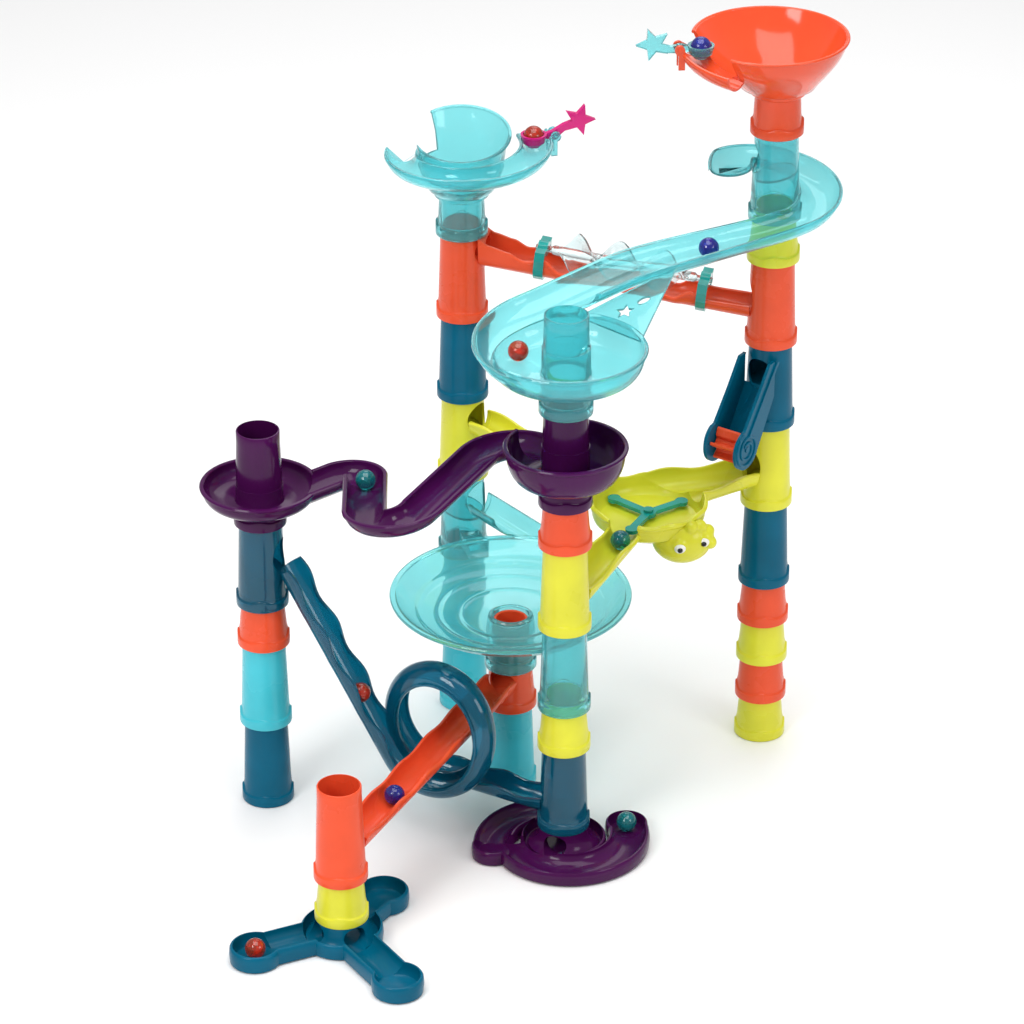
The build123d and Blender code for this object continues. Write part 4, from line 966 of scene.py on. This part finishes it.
# ---- paddle chute
PADDLE_WAY = radians(235)
PADDLE_RUN, PADDLE_Z, CHEEK_R, CHEEK_SIDE = 56.0, 290.0, 17.0, 12.6


def make_paddle():
    way, up = outward(PADDLE_WAY), UP
    across = way.cross(up)
    base = Vector((*RIGHT, 0))
    thick = 2.6
    solids = []
    for side in (-1, 1):
        spot = base + across * (side * (CHEEK_SIDE + thick / 2))
        solids.append(prism([(17, 352), (17, 322), (40, 284), (64, 281), (66, 298), (40, 330), (24, 352)],
                            spot, way, up, thick / 2))
        solids.append(prism(circle(CHEEK_R, (PADDLE_RUN, PADDLE_Z), 64), spot, way, up, thick / 2))
    solids.append(prism([(16, 327), (16, 323), (39, 285.5), (41, 288.5)], base, way, up, CHEEK_SIDE + 0.5))
    arms = mould(solids, [bore(RIGHT, 280, 380)])
    pipe = mould([tube(RIGHT, 8 * STEP, LONG)], [mouth(RIGHT, PADDLE_WAY, 325, 12, 25)])
    extras = [shelf(RIGHT, PADDLE_WAY, 322)]
    for side in (-1, 1):
        face = base + across * (side * (CHEEK_SIDE + thick)) + way * PADDLE_RUN + up * PADDLE_Z
        extras.append(spiral_bead(face, way, up, across * side))
        for row in range(4):
            low = 300 + 12 * row
            lead = between(52, 24, row / 3)
            extras.append(prism([(lead - 12, low + 14), (lead, low), (lead + 2.4, low + 1.4),
                                 (lead - 9, low + 15.4)],
                                base + across * (side * (CHEEK_SIDE + thick + 0.5)), way, up, 0.8))
    made = mould([pipe, arms], [prism(circle(2.5, (PADDLE_RUN, PADDLE_Z)), base, way, up, 12.0)], extras)
    finish_piece(made, "paddle_chute", "petrol")


def spiral_bead(centre, way, up, out):
    """Raised round bead that spirals out on a cheek."""
    rings = []
    turns, last = 2.1, 69
    for index in range(last + 1):
        part = index / last
        angle = 2 * pi * turns * part + 0.6
        radius = between(4.6, 15.4, part)
        radial = way * cos(angle) + up * sin(angle)
        place = centre + radial * radius + out * 0.1
        rings.append([place + radial * u + out * v for u, v in circle(1.25, count=10)])
    return skin(rings)


make_paddle()


# ---- catching bases
def base_hub(tower, ways):
    """Stub that a tower stands on, hollow, with a mouth towards each arm."""
    hub = revolved([(BORE_R, 2), (28, 2), (28, 5), (24, 8), (21.5, 12), (20.5, 17), (20.5, BASE_H - 0.05),
                    (SPIGOT_R, BASE_H - 0.05), (SPIGOT_R, BASE_H + SPIGOT - 0.6),
                    (SPIGOT_R - 0.6, BASE_H + SPIGOT - 0.02), (BORE_R, BASE_H + SPIGOT - 0.02)], tower)
    return carve(hub, [mouth(tower, radians(a), 3.0, 9.5, 17.2, 32) for a in ways], "DIFFERENCE")


def arm_outline(half, low, high):
    """Rounded block section of a base arm."""
    return mirrored([(0, low), (half - 1.5, low), (half, low + 1.2), (half + 0.6, (low + high) / 2),
                     (half, high - 1.6), (half - 0.9, high - 0.3), (half - 1.8, high), (0.4, high)])


def cup_outside(radius, high, place):
    return revolved([(0, 0), (radius - 1.5, 0), (radius - 0.3, 0.9), (radius + 0.3, high / 2),
                     (radius - 0.2, high - 1.6), (radius - 1.0, high - 0.4), (radius - 1.8, high), (0, high)],
                    place, count=64)


def cup_space(radius, floor, place):
    return revolved([(0, floor), (radius - 5, floor), (radius - 2, floor + 1.2), (radius - 0.4, floor + 4),
                     (radius, floor + 7), (radius + 0.2, 60), (0, 60)], place, count=64)


def make_spiral_base():
    solids, cuts = [cup_outside(34, 11, FRONT)], [cup_space(32, 2.4, FRONT)]
    for start, sweep, near, far in ((185, 195, 40, 54), (100, 95, 38, 58)):
        places = []
        count = 36
        for index in range(count + 1):
            part = index / count
            angle = radians(start + sweep * part)
            places.append((ahead(FRONT, angle, between(near, far, part)), angle + pi / 2))
        arm = descend(places, 3.4, 3.0)
        solids.append(swept(arm, arm_outline(16, -3, 9)))
        cuts.append(plug(arm, 13.6, 10))
        end = arm[-1][0].xy
        solids.append(cup_outside(17, 12, end))
        cuts.append(cup_space(15, 2.6, end))
    cuts.append(drum(110, -10, 0.0, FRONT))
    made = mould(solids, cuts, [base_hub(FRONT, (250, 130))])
    finish_piece(made, "spiral_base", "purple")


def make_tripod_base():
    arms = ((205, 72), (302, 84), (58, 58))
    solids, cuts = [cup_outside(32, 13, CORNER)], [cup_space(30, 2.4, CORNER)]
    for angle, reach in arms:
        way = radians(angle)
        end = ahead(CORNER, way, reach)
        run = straight(ahead(CORNER, way, 12), end, 3.2, 3.0, 6)
        solids.append(swept(run, arm_outline(15, -3, 11)))
        cuts.append(plug(run, 12.5, 12))
        solids.append(cup_outside(20, 14, end))
        cuts.append(cup_space(17.5, 2.6, end))
    cuts.append(drum(200, -10, 0.0, CORNER))
    made = mould(solids, cuts, [base_hub(CORNER, [a for a, _ in arms])])
    finish_piece(made, "tripod_base", "petrol")


make_spiral_base()
make_tripod_base()


# ---- boss with eyes
def oval_ball(radius, centre, stretch):
    made = ball(radius, (0, 0, 0))
    made.data.transform(Matrix.Diagonal((*stretch, 1)))
    made.data.transform(Matrix.Translation(Vector(centre) * MM))
    return made


def make_boss():
    """Rounded boss on the front of the pan, with two plain round eyes in soft brows."""
    x, y = PAN
    centre = (x + 26, y - 26, PAN_FLOOR - 4)
    spots = [(x + 24, y - 42.5, PAN_FLOOR - 3), (x + 43, y - 35.5, PAN_FLOOR - 1)]
    eye_r, pupil_r, reach, way = 5.2, 2.2, PAN_R, heading(RIGHT, PAN)
    pan = revolved([(0, -2.25), (reach - 9, -2.25), (reach - 3.95, -1.25), (reach + 0.1, 2), (reach + 1.5, 6),
                    (reach + 1.9, 12), (reach + 3.5, 13.9), (reach + 3.5, 60), (0, 60)], PAN, base=PAN_FLOOR)
    leg = straight(ahead(RIGHT, way, 16), ahead(PAN, way, -12), MERGE_RIGHT, PAN_FLOOR + 3)
    curls = ((0.60, -0.35, 0.72), (0.88, -0.15, 0.42), (0.96, -0.38, 0.02), (0.30, -0.55, 0.78))
    bumps = [ball(5.5, (centre[0] + 23 * a, centre[1] + 19 * b, centre[2] + 20 * c)) for a, b, c in curls]
    brows = [ball(8.5, (a, b + 4.5, c + 1)) for a, b, c in spots]
    body = mould([oval_ball(21, centre, (1.15, 0.9, 0.95))] + brows + bumps)
    remesh = body.modifiers.new("even", "REMESH")
    remesh.mode = "VOXEL"
    remesh.voxel_size = 0.8 * MM
    soft = body.modifiers.new("soft", "SMOOTH")
    soft.iterations = 5
    evaluated(body)
    carve(body, [pan, trough(leg, 12.1, 18), *[ball(eye_r, spot) for spot in spots]], "DIFFERENCE")
    finish_piece(body, "pan_boss", "lime")
    finish_piece(mould([ball(eye_r, spot) for spot in spots]), "boss_eyes", "white")
    finish_piece(mould([ball(pupil_r, (a, b - 4.5, c - 0.6)) for a, b, c in spots]), "boss_pupils", "black")


make_boss()


# ---- marbles
MARBLES = {
    "marble_long_chute": ("blue", "rolling_long_chute"), "marble_slide": ("blue", "rolling_slide"),
    "marble_ring_bowl": ("red", "rolling_ring_bowl"), "marble_loop_ramp": ("red", "rolling_loop_ramp"),
    "marble_swerve": ("teal", "lifting_swerve"), "marble_pan": ("teal", "rolling_pan"),
    "marble_base": ("teal", "lifting_base"), "marble_tripod": ("red", "lifting_tripod"),
    "marble_rear_lever": ("red", "rear_lever"), "marble_right_lever": ("blue", "right_lever")}


def make_marble(node, tone, body, tilt):
    """Glass ball with a twisted vane of colour inside."""
    lo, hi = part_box(node)
    centre = (lo + hi) / 2
    radius = (hi.z - lo.z) / 2 / MM
    shell = ball(radius, (0, 0, 0), 64)
    rings = []
    last = 24
    for index in range(last + 1):
        part = index / last
        z = between(-5.6, 5.6, part)
        wide = 4.6 * sqrt(max(0.02, 1 - (z / 5.8) ** 2))
        twist = 1.6 * pi * part
        rings.append([(u * cos(twist) - v * sin(twist), u * sin(twist) + v * cos(twist), z)
                      for u, v in ((wide, 0.2), (wide * 0.4, 1.0), (-wide * 0.4, 1.0), (-wide, 0.2),
                                   (-wide, -0.2), (-wide * 0.4, -1.0), (wide * 0.4, -1.0), (wide, -0.2))])
    vane = skin(rings)
    spin = Matrix.Rotation(tilt, 4, (0.6, 0.3, 0.74))
    vane.data.transform(spin)
    work = bmesh.new()
    work.from_mesh(shell.data)
    faces_before = len(work.faces)
    work.from_mesh(vane.data)
    work.faces.ensure_lookup_table()
    for face in work.faces[faces_before:]:
        face.material_index = 1
    bmesh.ops.translate(work, verts=work.verts, vec=centre)
    work.to_mesh(shell.data)
    work.free()
    bpy.data.objects.remove(vane)
    indices = [p.material_index for p in shell.data.polygons]
    finish_piece(shell, node, "marble_" + tone, body, "vane_" + tone, 180)
    shell.data.polygons.foreach_set("material_index", indices)


for number, (node, (tone, body)) in enumerate(MARBLES.items()):
    make_marble(node, tone, body, 0.9 * number)


# ---- CAD pieces kept
KEPT = {"auger_bracket_rear": "teal_deep", "auger_bracket_right": "teal_deep", "flipper_gate": "teal_deep",
        "flipper_pin": "teal_deep", "paddle_wheel": "orange", "paddle_axle": "petrol",
        "rear_star_lever": "magenta_clear", "rear_star_pin": "teal_clear", "right_star_lever": "teal_clear",
        "right_star_pin": "orange_clear"}
for node, colour in KEPT.items():
    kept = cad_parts[node]
    kept.data.materials.clear()
    kept.data.materials.append(PAINTS[colour])
    edge = kept.modifiers.new("rounded", "BEVEL")
    edge.width = 0.0005
    edge.segments = 3
    edge.limit_method = "ANGLE"
    edge.angle_limit = radians(40)


# ---- floor, light and camera
def make_stage():
    floor = bpy.data.meshes.new("floor")
    floor.from_pydata([(-6, -6, 0), (6, -6, 0), (6, 6, 0), (-6, 6, 0)], [], [(0, 1, 2, 3)])
    ground = bpy.data.objects.new("floor", floor)
    ground.location.z = -0.0004
    bpy.context.scene.collection.objects.link(ground)
    pale = bpy.data.materials.new("pale_floor")
    pale.use_nodes = True
    shader = pale.node_tree.nodes["Principled BSDF"]
    shader.inputs["Base Color"].default_value = (0.93, 0.93, 0.93, 1)
    shader.inputs["Roughness"].default_value = 0.6
    floor.materials.append(pale)

    world = bpy.data.worlds.new("studio")
    bpy.context.scene.world = world
    world.use_nodes = True
    world.node_tree.nodes["Background"].inputs["Color"].default_value = (1, 1, 1, 1)
    world.node_tree.nodes["Background"].inputs["Strength"].default_value = 0.45
    for name, place, size, power in (("key", (-1.3, -1.6, 1.7), 0.9, 22), ("fill", (1.7, -1.2, 1.2), 0.8, 9),
                                     ("back", (0.2, 1.6, 1.8), 1.2, 8), ("top", (0.0, -0.2, 3.1), 2.6, 75)):
        data = bpy.data.lights.new(name, "AREA")
        data.energy = power
        data.size = size
        lamp = bpy.data.objects.new(name, data)
        lamp.location = place
        lamp.rotation_euler = (Vector((0, 0, 0.3)) - lamp.location).to_track_quat("-Z", "Y").to_euler()
        bpy.context.scene.collection.objects.link(lamp)


def make_camera():
    data = bpy.data.cameras.new("camera")
    data.sensor_width = 36.0
    data.lens = 158.2
    data.clip_end = 50.0
    camera = bpy.data.objects.new("camera", data)
    camera.location = (-0.00774, -3.07, 1.9212)
    camera.rotation_euler = (radians(62), 0, 0)
    bpy.context.scene.collection.objects.link(camera)
    bpy.context.scene.camera = camera


make_stage()
make_camera()
bpy.context.scene.view_settings.view_transform = "Standard"
